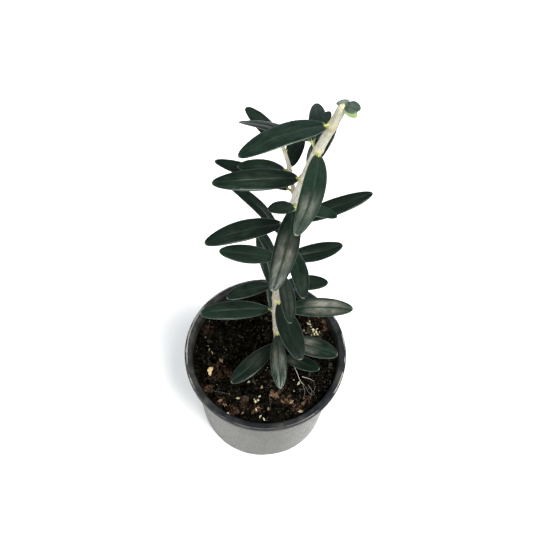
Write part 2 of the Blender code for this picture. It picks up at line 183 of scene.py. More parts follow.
# %% Numbers inside a material
class Value:
    """A socket in a material. Arithmetic on it adds Math nodes."""

    def __init__(self, finish, socket):
        self.finish = finish
        self.socket = socket

    def math(self, operation, first, second=None):
        sockets = {0: first} if second is None else {0: first, 1: second}
        return self.finish.node("ShaderNodeMath", {"operation": operation}, sockets)

    def __add__(self, other):
        return self.math("ADD", self, other)

    def __radd__(self, other):
        return self.math("ADD", other, self)

    def __sub__(self, other):
        return self.math("SUBTRACT", self, other)

    def __rsub__(self, other):
        return self.math("SUBTRACT", other, self)

    def __mul__(self, other):
        return self.math("MULTIPLY", self, other)

    def __rmul__(self, other):
        return self.math("MULTIPLY", other, self)

    def __pow__(self, other):
        return self.math("POWER", self, other)

    def __rpow__(self, other):
        return self.math("POWER", other, self)

    def __abs__(self):
        return self.math("ABSOLUTE", self)

    def sin(self):
        return self.math("SINE", self)

    def cos(self):
        return self.math("COSINE", self)

    def ramp(self, low, high):
        """0 below low, 1 above high, and a soft step between. low may be the larger of the two."""
        sockets = {"Value": self, "From Min": low, "From Max": high}
        return self.finish.node("ShaderNodeMapRange", {"interpolation_type": "SMOOTHSTEP"}, sockets)

    def band(self, low, high, soft):
        """1 between low and high, 0 outside, with soft edges."""
        return self.ramp(low, low + soft) * self.ramp(high, high - soft)


print("numbers ready")

# %% Materials
class Finish:
    """A material built on one Principled shader."""

    def __init__(self, name, **fixed):
        self.material = bpy.data.materials.new(name)
        self.material.use_nodes = True
        self.tree = self.material.node_tree
        self.shader = self.tree.nodes["Principled BSDF"]
        for socket, value in fixed.items():
            self.shader.inputs[socket.replace("_", " ")].default_value = value

    def node(self, kind, settings=None, sockets=None, output=0):
        """Adds a node: its settings, then its sockets' values or links. Returns one of its outputs."""
        made = self.tree.nodes.new(kind)
        for name, value in (settings or {}).items():
            setattr(made, name, value)
        for name, value in (sockets or {}).items():
            if isinstance(value, Value):
                self.tree.links.new(value.socket, made.inputs[name])
            else:
                made.inputs[name].default_value = value
        return Value(self, made.outputs[output])

    def feed(self, **sockets):
        """Links patterns to the shader's sockets."""
        for name, value in sockets.items():
            self.tree.links.new(value.socket, self.shader.inputs[name.replace("_", " ")])
        return self.material

    def place(self):
        return self.node("ShaderNodeTexCoord", output="Object")

    def uv(self):
        """The piece's own map: how far along, and how far across."""
        return self.axes(self.node("ShaderNodeTexCoord", output="UV"))[:2]

    def axes(self, vector):
        """The three numbers of a place."""
        x = self.node("ShaderNodeSeparateXYZ", None, {0: vector})
        return [Value(self, socket) for socket in x.socket.node.outputs]

    def attribute(self, name):
        return self.node("ShaderNodeAttribute", {"attribute_name": name}, output="Fac")

    def vector(self, x, y, z):
        return self.node("ShaderNodeCombineXYZ", None, {0: x, 1: y, 2: z})

    def stretch(self, where, scale):
        return self.node("ShaderNodeMapping", None, {"Vector": where, "Scale": scale})

    def noise(self, where, scale, detail=3.0, roughness=0.55):
        sockets = {"Vector": where, "Scale": scale, "Detail": detail, "Roughness": roughness}
        return self.node("ShaderNodeTexNoise", None, sockets)

    def mix(self, factor, first, second):
        """A colour between two. Each is a colour or a Value, and the factor runs from 0 to 1."""
        first, second = [c if isinstance(c, Value) else (*c, 1.0) for c in (first, second)]
        return self.node("ShaderNodeMix", {"data_type": "RGBA"}, {0: factor, 6: first, 7: second}, 2)

    def bump(self, height, depth, strength=1.0):
        sockets = {"Height": height, "Distance": depth, "Strength": strength}
        return self.node("ShaderNodeBump", None, sockets)


print("material tools ready")

# %% [markdown]
# ## Tools for shapes
#
# Leaves, stems and twigs all start as a flat grid. Its two directions become along and across, or along
# and around, and a formula moves each corner to its place. The same could be done by extruding ring after
# ring, but a grid comes with its UV map, so the veins and the bark can follow the shape.

# %% Patches
WELD = 0.002 * MM  # points nearer than this become one
MIDDLE_CROWDING = 1.5


def even(share):
    return share


def patch(along, across, rows=even, columns=even):
    """A flat grid of along by across faces. Its corners run from 0 to 1 both ways, and so does its UV map."""
    bm = bmesh.new()
    bmesh.ops.create_grid(bm, x_segments=along, y_segments=across, size=0.5)
    bmesh.ops.translate(bm, verts=bm.verts, vec=(0.5, 0.5, 0.0))
    for vert in bm.verts:
        vert.co.x = rows(vert.co.x)
        vert.co.y = columns(vert.co.y)
    uv = bm.loops.layers.uv.new("UVMap")
    for face in bm.faces:
        for loop in face.loops:
            loop[uv].uv = loop.vert.co.xy
    return bm


def close_ends(share):
    """Spaces rows closely at both ends."""
    return 0.5 - 0.5 * math.cos(math.pi * share)


def close_middle(share):
    """Spaces columns closely in the middle."""
    out = 2 * share - 1
    return 0.5 + 0.5 * math.copysign(abs(out) ** MIDDLE_CROWDING, out)


print("patches ready")

# %% Tubes
def carried_frames(points):
    """Two directions square to the path at each point, carried along it without twisting."""
    frames = []
    side = None
    for number, point in enumerate(points):
        before = points[max(number - 1, 0)]
        after = points[min(number + 1, len(points) - 1)]
        tangent = (after - before).normalized()
        side = tangent.orthogonal() if side is None else side
        side = (side - tangent * side.dot(tangent)).normalized()
        frames.append((side, tangent.cross(side)))
    return frames


def tube(points, radius, sides, frames=None):
    """A closed bar along the points. radius(share, angle) gives its surface."""
    frames = frames or carried_frames(points)
    bm = patch(len(points) - 1, sides)
    for vert in bm.verts:
        row = round(vert.co.x * (len(points) - 1))
        angle = 2 * math.pi * vert.co.y
        out = frames[row][0] * math.cos(angle) + frames[row][1] * math.sin(angle)
        vert.co = points[row] + out * radius(vert.co.x, angle)
    bmesh.ops.remove_doubles(bm, verts=bm.verts, dist=WELD)
    bmesh.ops.holes_fill(bm, edges=[edge for edge in bm.edges if edge.is_boundary], sides=0)
    bmesh.ops.recalc_face_normals(bm, faces=bm.faces)
    return bm


print("tubes ready")

# %% [markdown]
# ## Tools for pieces
#
# A leaf is a blade and a stalk, and a growing tip is several leaves, so there has to be a way to put
# shapes together. Joining objects would do it too, but here it happens before they are objects, and their
# maps and numbers come along. `dress` then gives the mesh its material and its body, and hides the solids
# that it stands for.

# %% Joining and marking
def joined(bodies):
    """One bmesh that holds several, with their maps and attributes."""
    whole = bmesh.new()
    for body in bodies:
        carrier = bpy.data.meshes.new("carrier")
        body.to_mesh(carrier)
        body.free()
        whole.from_mesh(carrier)
        bpy.data.meshes.remove(carrier)
    return whole


def mark(bm, name, amount):
    """Writes one number to every corner point of a shape, for its material to read."""
    layer = bm.verts.layers.float.get(name) or bm.verts.layers.float.new(name)
    for vert in bm.verts:
        vert[layer] = amount
    return bm


print("joining ready")

# %% Dressing
def dress(mesh, name, material, nodes=()):
    """Turns a mesh into a piece that rides with the plant and stands for the given solids."""
    mesh.name = name
    mesh.shade_smooth()
    mesh.materials.append(material)
    piece = bpy.data.objects.new(name, mesh)
    bpy.context.scene.collection.objects.link(piece)
    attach(piece, BODY)
    if nodes:
        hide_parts(*nodes)
    return piece


def add_piece(bm, name, material, slot, nodes=()):
    """Makes a piece of a finished bmesh."""
    mesh = bpy.data.meshes.new(name)
    bm.to_mesh(mesh)
    bm.free()
    return dress(mesh, name, material, nodes)


print("piece tools ready")

# %% [markdown]
# ## Pot plastic
#
# Nursery pots are moulded from recycled polypropylene, blue-black and satin. Handling leaves fine
# scratches, damp peat leaves a dust on the rim, more of it on the left, and rain leaves faint runs down the
# wall. The shine comes from the shader's own reflection, so the colour stays almost black, and these
# marks only lift it a little and roughen the gloss. Two marks are painted highlights instead: a thin pale
# line along the lip's outer edge, strongest on the left and the right, and a short brighter streak on the
# lip's right side.

# %% Pot plastic
RIM_FROM = 80.0 * MM  # the rim's dust and painted highlights begin below this height and are full above the next
RIM_FULL = 90.0 * MM
EDGE_HIGHLIGHT_RADII = (51.2 * MM, 52.1 * MM, 0.3 * MM)  # radii of the painted highlight along the lip's outer edge, and how softly it ends
# radii of the painted highlight streak on the lip's right side, and how softly it ends
STREAK_HIGHLIGHT_RADII = (50.5 * MM, 51.3 * MM, 0.2 * MM)


def pot_plastic():
    finish = Finish("pot plastic", Specular_IOR_Level=0.04, Specular_Tint=(1.0, 0.99, 0.93, 1.0))
    where = finish.place()
    x, y, height = finish.axes(where)
    radius = (x * x + y * y) ** 0.5
    rim = height.ramp(RIM_FROM, RIM_FULL)
    blotches = finish.noise(where, 60.0, 4.0)
    scratches = finish.noise(finish.stretch(where, (900.0, 900.0, 60.0)), 1.0, 2.0)

    specks = finish.noise(where, 1100.0, 5.0, 0.7).ramp(0.58, 0.70)
    # On the pot this mask is a dust film only.
    dust_film_and_painted_sheen = finish.noise(where, 160.0, 4.0).ramp(0.38, 0.66)
    # The rim's left side, with more dust and a stronger painted edge highlight.
    left_dust_and_highlight = (y * 0.4 - x).ramp(0.010, 0.050)
    dust = (specks * 0.5 + dust_film_and_painted_sheen * 0.3 + 0.15) * (blotches.ramp(0.3, 0.7) * 0.6 + left_dust_and_highlight * 0.5) * rim
    # Painted highlight: a pale line along the lip's outer edge, faint all round and strongest on the left and
    # the right.
    edge_highlight_strength = 0.12 + left_dust_and_highlight * 0.6 + x.ramp(0.020, 0.048) * 0.6
    painted_edge_highlight = radius.band(*EDGE_HIGHLIGHT_RADII) * rim * finish.noise(where, 90.0, 3.0, 0.6).ramp(0.42, 0.56) * edge_highlight_strength
    # Painted highlight: a brighter streak on the lip's right side.
    painted_streak_highlight = (y * 0.22 - x).ramp(0.0465, 0.0490) * radius.band(*STREAK_HIGHLIGHT_RADII) * rim
    runs = finish.noise(finish.stretch(where, (170.0, 170.0, 30.0)), 1.0, 4.0).ramp(0.3, 0.7)
    grime = (0.3 + runs * 0.35) * (1.0 - rim)

    plastic = finish.mix(blotches, (0.0035, 0.0045, 0.0065), (0.008, 0.010, 0.013))
    streaked = finish.mix(grime, plastic, (0.040, 0.039, 0.024))
    dusty = finish.mix(dust, streaked, (0.110, 0.105, 0.088))
    # The painted highlights are mixed into the colour here, and made a little rougher below.
    with_edge_highlight = finish.mix(painted_edge_highlight, dusty, (0.34, 0.34, 0.32))
    colour = finish.mix(painted_streak_highlight * (0.35 + specks), with_edge_highlight, (0.55, 0.55, 0.52))
    rough = 0.22 + blotches * 0.10 + scratches.ramp(0.5, 0.8) * 0.05 + (dust + painted_edge_highlight + painted_streak_highlight) * 0.5
    relief = scratches * 0.12 + finish.noise(where, 2500.0, 2.0) * 0.2 + dust
    return finish.feed(Base_Color=colour, Roughness=rough, Normal=finish.bump(relief, 0.05 * MM, 0.6))


PLASTIC = pot_plastic()
print("made", PLASTIC.name)

# %% [markdown]
# ## Pot
#
# The pot is turned: a profile of a few straight runs, its corners rounded by a bevel, is spun about the
# axis. The wall tapers to the foot, and a flat rolled lip stiffens the rim. Smooth shading blends the
# slope of neighbouring faces, which makes a tall plain wall look swollen near a rounded corner, so one more
# ring holds the shading at each end of it.

# %% Pot's measures
POT_HEIGHT = 92.0 * MM
RIM_RADIUS = 52.45 * MM
LIP = 5.0 * MM  # the rolled lip's width and height
FOOT_RADIUS = 43.2 * MM
LIP_OVERHANG = 0.7 * LIP
LIP_SLOPE = 0.4 * MM  # how much the lip's inner side leans
WALL = 1.4 * MM
POT_FLOOR = 1.6 * MM
STANDING_RING = 6.0 * MM
RECESS = 0.5 * MM  # the underside is hollowed this much inside its standing ring
HOLD = 5.0 * MM  # how far from each end of the wall its holding rings are
ROUND_SEGMENTS = 5
SPIN_STEPS = 192
SHARP_ANGLE = math.radians(40.0)
WALL_TOP_RADIUS = RIM_RADIUS - LIP_OVERHANG
BEAD_MIDDLE = POT_HEIGHT - LIP / 2


def outer_wall(z):
    """The outside radius of the pot's wall at a height."""
    return FOOT_RADIUS + (WALL_TOP_RADIUS - FOOT_RADIUS) * z / BEAD_MIDDLE


print("wall leans out", round((WALL_TOP_RADIUS - FOOT_RADIUS) / MM, 1), "mm")

# %% [markdown]
# ## Drain slots
#
# Water leaves through low slots in the edge of the foot. Each is cut by a flattened cylinder that lies
# along the edge, with a Boolean that is applied at once, so that what is left is one mesh. It leaves faces
# with many corners and a few slivers, which are split and dissolved.

# %% Slot cutters
SLOT_COUNT = 6
SLOT_WIDTH = 24.0 * MM
SLOT_HEIGHT = 2.8 * MM
SLOT_INSET = 5.0 * MM
SLOT_SEGMENTS = 48
FIRST_SLOT = math.radians(-79.0)


def slot_cutters():
    """Flattened cylinders that lie along the foot's edge, one for each slot."""
    bodies = []
    for number in range(SLOT_COUNT):
        turn = FIRST_SLOT + 2 * math.pi * number / SLOT_COUNT
        bm = bmesh.new()
        radius = SLOT_WIDTH / 2
        bmesh.ops.create_cone(
            bm, cap_ends=True, segments=SLOT_SEGMENTS, radius1=radius, radius2=radius, depth=2 * SLOT_INSET
        )
        bmesh.ops.scale(bm, verts=bm.verts, vec=(1.0, SLOT_HEIGHT / radius, 1.0))
        place = Matrix.Translation((FOOT_RADIUS * math.cos(turn), FOOT_RADIUS * math.sin(turn), 0.0))
        turned = Matrix.Rotation(turn + math.pi / 2, 4, "Z") @ Matrix.Rotation(math.pi / 2, 4, "X")
        bmesh.ops.transform(bm, matrix=place @ turned, verts=bm.verts)
        bodies.append(bm)
    return joined(bodies)


print("slots", SLOT_COUNT, "of", round(SLOT_WIDTH / MM), "by", round(SLOT_HEIGHT / MM, 1), "mm")

# %% Cutting
MOST_CORNERS = 4  # a face with more is split into triangles


def cut(bm, cutter_bm):
    """A mesh of the first shape with the second cut out of it."""
    pair = []
    for name, body in (("cut body", bm), ("cutter", cutter_bm)):
        mesh = bpy.data.meshes.new(name)
        body.to_mesh(mesh)
        body.free()
        pair.append(bpy.data.objects.new(name, mesh))
        bpy.context.scene.collection.objects.link(pair[-1])
    body, cutter = pair
    boolean = body.modifiers.new("cut", "BOOLEAN")
    boolean.operation = "DIFFERENCE"
    boolean.object = cutter
    graph = bpy.context.evaluated_depsgraph_get()
    mesh = bpy.data.meshes.new_from_object(body.evaluated_get(graph))
    for obj in pair:
        bpy.data.objects.remove(obj, do_unlink=True)
    whole = bmesh.new()
    whole.from_mesh(mesh)
    bmesh.ops.dissolve_degenerate(whole, dist=WELD, edges=whole.edges)
    bmesh.ops.triangulate(whole, faces=[face for face in whole.faces if len(face.verts) > MOST_CORNERS])
    whole.to_mesh(mesh)
    whole.free()
    return mesh


print("cutting ready")

# %% Pot
def pot_shell():
    under_lip = POT_HEIGHT - LIP
    lip_inner = RIM_RADIUS - LIP
    high_hold = under_lip - HOLD
    ring_inner = FOOT_RADIUS - STANDING_RING
    corners = [  # radius, height, and rounding in millimetres
        (0.0, POT_FLOOR, 0.0),
        (outer_wall(POT_FLOOR) - WALL, POT_FLOOR, 1.5),
        (outer_wall(high_hold) - WALL, high_hold, 0.0),
        (outer_wall(under_lip) - WALL, under_lip, 3.0),
        (lip_inner + LIP_SLOPE, POT_HEIGHT, 1.3),
        (RIM_RADIUS, POT_HEIGHT, 1.4),
        (RIM_RADIUS, under_lip, 0.7),
        (outer_wall(under_lip), under_lip, 0.8),
        (outer_wall(high_hold), high_hold, 0.0),
        (outer_wall(HOLD), HOLD, 0.0),
        (FOOT_RADIUS, 0.0, 1.2),
        (ring_inner, 0.0, 0.0),
        (ring_inner - RECESS, RECESS, 0.0),
        (0.0, RECESS, 0.0),
    ]
    bm = bmesh.new()
    verts = [bm.verts.new((radius, 0.0, height)) for radius, height, _ in corners]
    for first, second in zip(verts, verts[1:]):
        bm.edges.new((first, second))
    for vert, (_, _, rounding) in zip(verts, corners):
        if rounding:
            bmesh.ops.bevel(
                bm, geom=[vert], offset=rounding * MM, offset_type="OFFSET", segments=ROUND_SEGMENTS,
                profile=0.5, affect="VERTICES", material=-1,
            )
    profile = bm.verts[:] + bm.edges[:]
    bmesh.ops.spin(
        bm, geom=profile, cent=(0, 0, 0), axis=(0, 0, 1), dvec=(0, 0, 0), angle=2 * math.pi,
        steps=SPIN_STEPS, use_merge=True, use_duplicate=False,
    )
    bmesh.ops.remove_doubles(bm, verts=bm.verts, dist=WELD)
    bmesh.ops.recalc_face_normals(bm, faces=bm.faces)
    return bm


pot_mesh = cut(pot_shell(), slot_cutters())
pot = dress(pot_mesh, "pot_shell", PLASTIC, ["pot"])
pot_mesh.set_sharp_from_angle(angle=SHARP_ANGLE)
print("pot faces", len(pot_mesh.polygons), "rim", round(2 * RIM_RADIUS / MM, 1), "mm")

# %% [markdown]
# ## Compost
#
# Peat compost is nearly black when moist, with rusty brown fibre in patches. The surface could be a flat
# disc with bump, but its lumps cast shadows that a bump can't, so a fine polar grid takes real relief from
# three sizes of noise, and loose crumbs lie on top.

# %% Compost's measures
COMPOST_TOP = 83.0 * MM
COMPOST_RINGS = 110
COMPOST_SPOKES = 480
RING_CROWDING = 0.75  # below 1, the rings stand closer towards the wall
CLEARANCE = 0.3 * MM  # the gap that the solids keep from each other
FOOT_ROOM = 0.9 * MM  # the compost's foot stays this far from the wall, clear of the rounded corner
TOP_ROOM = 0.05 * MM
COMPOST_RADIUS = outer_wall(COMPOST_TOP) - WALL
print("compost", round(2 * COMPOST_RADIUS / MM, 1), "mm across")

# %% Compost's relief
LEVEL_EDGE = 3.0 * MM  # the relief dies away over this width at the wall
SWELL_ACROSS = 7.3 * MM
SWELL_ALONG = 8.9 * MM
SWELL_ASLANT = 4.7 * MM
LUMPS = [(1.4, 6.5, 0.0), (1.1, 2.6, 0.02), (0.5, 1.3, 0.04)]  # rise and size in millimetres, and a seed
MOUNDS = [  # x, y, radius and height of each mound of rusty fibre, in millimetres
    (-27.5, -32.6, 4.0, 1.2), (-18.9, -37.5, 4.2, 1.8), (-11.1, -33.1, 4.5, 0.8), (-3.6, -36.0, 3.6, 0.6),
    (-35.8, -24.3, 3.8, 0.8), (14.4, -29.0, 4.6, 0.9), (22.5, -33.2, 4.6, 1.0), (-39.5, 17.4, 5.0, 0.4),
    (-30.0, -11.0, 8.0, 0.9), (-22.0, -14.0, 4.5, 0.5), (36.5, 28.5, 5.5, 0.8), (39.5, 23.0, 3.5, 0.5),
    (7.0, -26.5, 3.8, 0.5), (28.5, -28.0, 3.5, 0.4),
]
MOUND_STEEPNESS = 2.0
RUST_STEEPNESS = 1.2


def mound_at(x, y, mound, steepness):
    """How much of a mound there is at a place, from 0 to 1."""
    middle_x, middle_y, radius, _ = mound
    apart = math.hypot(x / MM - middle_x, y / MM - middle_y) / radius
    return math.exp(-(apart**2) * steepness)


def rust_at(x, y):
    """How brown the compost is at a place, from 0 to 1."""
    return max(mound_at(x, y, mound, RUST_STEEPNESS) for mound in MOUNDS)


def compost_height(x, y):
    """Low swells, lumps and mounds, which die away at the wall."""
    radius = math.hypot(x, y)
    edge = min(1.0, max(0.0, (COMPOST_RADIUS - radius) / LEVEL_EDGE))
    swell = math.sin(x / SWELL_ACROSS + 0.6) * math.sin(y / SWELL_ALONG + 1.1)
    swell += 0.6 * math.sin((x + y) / SWELL_ASLANT)
    height = 0.6 * swell
    for rise, size, level in LUMPS:
        height += rise * noise.noise(Vector((x, y, level)) / (size * MM))
    for mound in MOUNDS:
        height += mound[3] * mound_at(x, y, mound, MOUND_STEEPNESS)
    return COMPOST_TOP + height * MM * edge


print("mounds", len(MOUNDS), "and the height at the axis", round(compost_height(0.0, 0.0) / MM, 1), "mm")

# %% Compost finish
def compost_finish():
    finish = Finish("moist peat", Specular_IOR_Level=0.0)
    where = finish.place()
    rust = finish.attribute("rust")
    coarse = finish.noise(where, 330.0, 4.0, 0.65)
    fine = finish.noise(where, 1300.0, 5.0, 0.75)
    grain = (fine * 0.6 + coarse * 0.6).ramp(0.45, 0.85)
    peat = finish.mix(grain, (0.0003, 0.0003, 0.0002), (0.0085, 0.0078, 0.0052))
    fibre = finish.mix(grain, (0.0014, 0.0009, 0.0006), (0.030, 0.018, 0.0115))
    colour = finish.mix((rust + (coarse - 0.5) * 0.9).ramp(0.25, 0.75), peat, fibre)
    relief = fine + coarse
    return finish.feed(Base_Color=colour, Roughness=0.8 + fine * 0.2, Normal=finish.bump(relief, 0.4 * MM))


PEAT = compost_finish()
print("made", PEAT.name)

# %% Compost surface
def compost_body():
    """The top as a welded polar grid, then the side and the bottom from its edge."""
    low_z = POT_FLOOR + CLEARANCE
    low_radius = outer_wall(low_z) - WALL - FOOT_ROOM
    top_radius = COMPOST_RADIUS - TOP_ROOM
    bm = patch(COMPOST_RINGS, COMPOST_SPOKES, lambda share: share**RING_CROWDING)
    for vert in bm.verts:
        radius = top_radius * vert.co.x
        angle = 2 * math.pi * vert.co.y
        x = radius * math.cos(angle)
        y = radius * math.sin(angle)
        vert.co = (x, y, compost_height(x, y))
    bmesh.ops.remove_doubles(bm, verts=bm.verts, dist=WELD)
    rust = bm.verts.layers.float.new("rust")
    for vert in bm.verts:
        vert[rust] = rust_at(vert.co.x, vert.co.y)
    rim = [edge for edge in bm.edges if edge.is_boundary]
    made = bmesh.ops.extrude_edge_only(bm, edges=rim)["geom"]
    low = [item for item in made if isinstance(item, bmesh.types.BMVert)]
    for vert in low:
        vert.co = (*(vert.co.xy * (low_radius / top_radius)), low_z)
    bmesh.ops.holes_fill(bm, edges=[edge for edge in bm.edges if edge.is_boundary], sides=0)
    bmesh.ops.recalc_face_normals(bm, faces=bm.faces)
    return bm


compost = add_piece(compost_body(), "compost_surface", PEAT, "compost", ["compost"])
print("compost faces", len(compost.data.polygons))

# %% [markdown]
# ## Crumbs, chips and grit
#
# What makes compost read as compost is what lies loose on it. Each kind starts from a few small faceted
# stones or bent hairs, made by operators, and their copies are joined into one mesh by array arithmetic: a
# particle system would be simpler to set up, but it isn't a mesh that can be kept. Every copy carries its
# tone, which the material turns into a shade, and how rusty the compost is below it.

# %% Stones and hairs
STRAND_LINKS = 7
STRAND_RADIUS = 0.014  # of a hair 1 long
STRAND_SIDES = 3
STONE_SIZES = (1.0, 0.75, 0.65)


def stone(seed, flatness=1.0, facets=1, rough=0.5):
    """A rough crumb about 2 across, flattened."""
    bm = bmesh.new()
    bmesh.ops.create_icosphere(bm, subdivisions=facets, radius=1.0)
    for vert in bm.verts:
        vert.co *= 1.0 + rough * noise.noise(vert.co * 1.5 + Vector((seed, 0.0, 0.0)))
    length, width, height = STONE_SIZES
    bmesh.ops.scale(bm, verts=bm.verts, vec=(length, width, height * flatness))
    return bm


def strand(seed, bend):
    """A bent three-sided hair, 1 long."""
    maker = random.Random(seed)
    points = [Vector((0.0, 0.0, 0.0))]
    heading = Vector((1.0, 0.0, 0.2))
    for _ in range(STRAND_LINKS):
        heading += Vector([maker.uniform(-bend, bend) for _ in range(3)])
        points.append(points[-1] + heading.normalized() / STRAND_LINKS)
    return tube(points, lambda share, angle: STRAND_RADIUS * (1.1 - share), STRAND_SIDES)


print("stones and hairs ready")

# %% Scattering
def scatter(name, templates, places, material):
    """Joins many copies of the templates. A place is (centre, turn, sizes, tone)."""
    corners, triangles, tones, rusts = [], [], [], []
    count = 0
    forms = []
    for bm in templates:
        bmesh.ops.triangulate(bm, faces=bm.faces)
        bm.verts.index_update()
        points = np.array([vert.co[:] for vert in bm.verts])
        faces = np.array([[vert.index for vert in face.verts] for face in bm.faces])
        forms.append((points, faces))
        bm.free()
    for number, (centre, turn, sizes, tone) in enumerate(places):
        points, faces = forms[number % len(forms)]
        turned = (points * np.array(sizes)) @ np.array(turn.to_matrix()).T
        corners.append(turned + np.array(centre))
        triangles.append(faces + count)
        tones.append(np.full(len(points), tone))
        rusts.append(np.full(len(points), rust_at(centre[0], centre[1])))
        count += len(points)
    mesh = bpy.data.meshes.new(name)
    mesh.from_pydata(np.concatenate(corners), [], np.concatenate(triangles))
    for layer_name, amounts in (("tone", tones), ("rust", rusts)):
        layer = mesh.attributes.new(layer_name, "FLOAT", "POINT")
        layer.data.foreach_set("value", np.concatenate(amounts))
    piece = dress(mesh, name, material)
    mesh.shade_flat()
    print(name, len(places), "copies,", len(mesh.polygons), "faces")
    return piece


print("scattering ready")

# %% Random places
STEM_FOOT = Vector((9.5, -2.5)) * MM
STEM_ROOM = 3.4 * MM
SCATTER_REACH = 46.0 * MM


def random_turn(maker, tip=math.pi):
    """A random heading, tipped by up to so much."""
    heading = Matrix.Rotation(maker.uniform(0, 2 * math.pi), 4, "Z")
    return (heading @ Matrix.Rotation(maker.uniform(-tip, tip), 4, "X")).to_quaternion()


def on_compost(maker, lift):
    """A random place on the compost, away from the stem."""
    while True:
        radius = SCATTER_REACH * math.sqrt(maker.random())
        angle = maker.uniform(0, 2 * math.pi)
        x = radius * math.cos(angle)
        y = radius * math.sin(angle)
        if (Vector((x, y)) - STEM_FOOT).length > STEM_ROOM:
            return Vector((x, y, compost_height(x, y) + lift))


print("random places reach", round(SCATTER_REACH / MM), "mm out")

# %% [markdown]
# ## Colours of the loose bits
#
# The crumbs are the same peat, so they run from black to rusty brown. Bark chips and bits of straw are tan,
# and the grit and the vermiculite are cream. One finish, mixed between two colours by the tone that each
# copy carries, serves for each kind.

# %% Finish for loose bits
def bits_finish(name, dark, light, rusty, roughness, grain):
    """Dark to light by tone, and the light end turns rusty where the compost is brown."""
    finish = Finish(name, Specular_IOR_Level=0.0, Roughness=roughness)
    speckle = finish.noise(finish.place(), grain, 4.0, 0.7)
    shade = (finish.attribute("tone") + (speckle - 0.5) * 0.8).ramp(0.0, 1.0)
    colour = finish.mix(shade, dark, finish.mix(finish.attribute("rust").ramp(0.2, 0.7), light, rusty))
    return finish.feed(Base_Color=colour, Normal=finish.bump(speckle, 0.15 * MM, 0.7))


CRUMB = bits_finish(
    "peat crumbs", (0.0004, 0.0004, 0.0003), (0.024, 0.021, 0.015), (0.062, 0.038, 0.026), 0.9, 1500.0
)
CHIP = bits_finish(
    "bark chips", (0.012, 0.008, 0.005), (0.27, 0.20, 0.105), (0.20, 0.125, 0.072), 0.8, 1300.0
)
CREAM = bits_finish("cream grit", (0.07, 0.06, 0.035), (0.46, 0.42, 0.27), (0.46, 0.38, 0.24), 0.7, 2200.0)
TAN = bits_finish("tan splinter", (0.10, 0.06, 0.02), (0.46, 0.37, 0.19), (0.46, 0.37, 0.19), 0.7, 900.0)
ROOTLET = bits_finish(
    "straw and rootlets", (0.008, 0.006, 0.004), (0.46, 0.44, 0.37), (0.16, 0.11, 0.07), 0.8, 900.0
)
print("made", CRUMB.name + ",", CHIP.name + ",", CREAM.name + ",", TAN.name, "and", ROOTLET.name)

# %% [markdown]
# ## Loose crumbs
#
# Most crumbs are small and nearly black, so their tone is a random number raised to a high power. More of
# them, and paler ones, gather on the mounds, and a few larger clumps lie between. One seed is drawn from
# for all of them, so every run lays the same ones.

# %% Crumbs and clumps
CRUMB_SEED = 11
CRUMB_COUNT = 4200
CLUMP_COUNT = 240
MOUND_CRUMB_COUNT = 42  # on each mound
MOUND_SPREAD = 0.45

maker = random.Random(CRUMB_SEED)
places = []
for _ in range(CRUMB_COUNT):
    size = maker.uniform(0.25, 0.95) ** 1.5 * MM
    tone = maker.random() ** 5
    turn = random_turn(maker)
    places.append((on_compost(maker, size * 0.4), turn, (size, size, size), tone))
for mound_x, mound_y, radius, _ in MOUNDS:
    for _ in range(MOUND_CRUMB_COUNT):
        x = maker.gauss(mound_x, radius * MOUND_SPREAD) * MM
        y = maker.gauss(mound_y, radius * MOUND_SPREAD) * MM
        size = maker.uniform(0.3, 1.1) * MM
        turn = random_turn(maker)
        if math.hypot(x, y) < COMPOST_RADIUS - size:
            centre = Vector((x, y, compost_height(x, y) + size * 0.3))
            places.append((centre, turn, (size, size * 0.7, size * 0.6), maker.uniform(0.2, 1.0)))
scatter("peat_crumbs", [stone(seed) for seed in (1, 5, 9, 14)], places, CRUMB)

places = []
for _ in range(CLUMP_COUNT):
    size = maker.uniform(0.9, 2.3) * MM
    turn = random_turn(maker)
    places.append((on_compost(maker, size * 0.1), turn, (size, size * 0.8, size * 0.7), maker.random() ** 2))
scatter("peat_clumps", [stone(seed, 0.9, 2, 0.8) for seed in (2, 6, 10)], places, CRUMB)

# %% [markdown]
# ## Fibres
#
# Peat is full of short root hairs. Each is a bent three-sided tube, which is as few faces as a hair can
# have, and most are as dark as the peat.

# %% Fibres in the peat
FIBRE_COUNT = 620
FIBRE_BEND = 0.28

places = []
for _ in range(FIBRE_COUNT):
    length = maker.uniform(1.5, 6.0) * MM
    turn = random_turn(maker, 0.5)
    thick = length * maker.uniform(0.5, 1.1)
    places.append((on_compost(maker, 0.2 * MM), turn, (length, thick, thick), 0.35 * maker.random() ** 3))
scatter("peat_fibres", [strand(seed, FIBRE_BEND) for seed in range(20, 26)], places, ROOTLET)

# %% [markdown]
# ## The bits that catch the eye
#
# A few chips and grains stand out and are placed one by one, in millimetres from the pot's axis: a brown
# bark chip in front of the stem, pale vermiculite behind on the right and cream grit along the front. Each
# row is x, y, length, width and tone. A tan splinter lies on the left at its own turn.

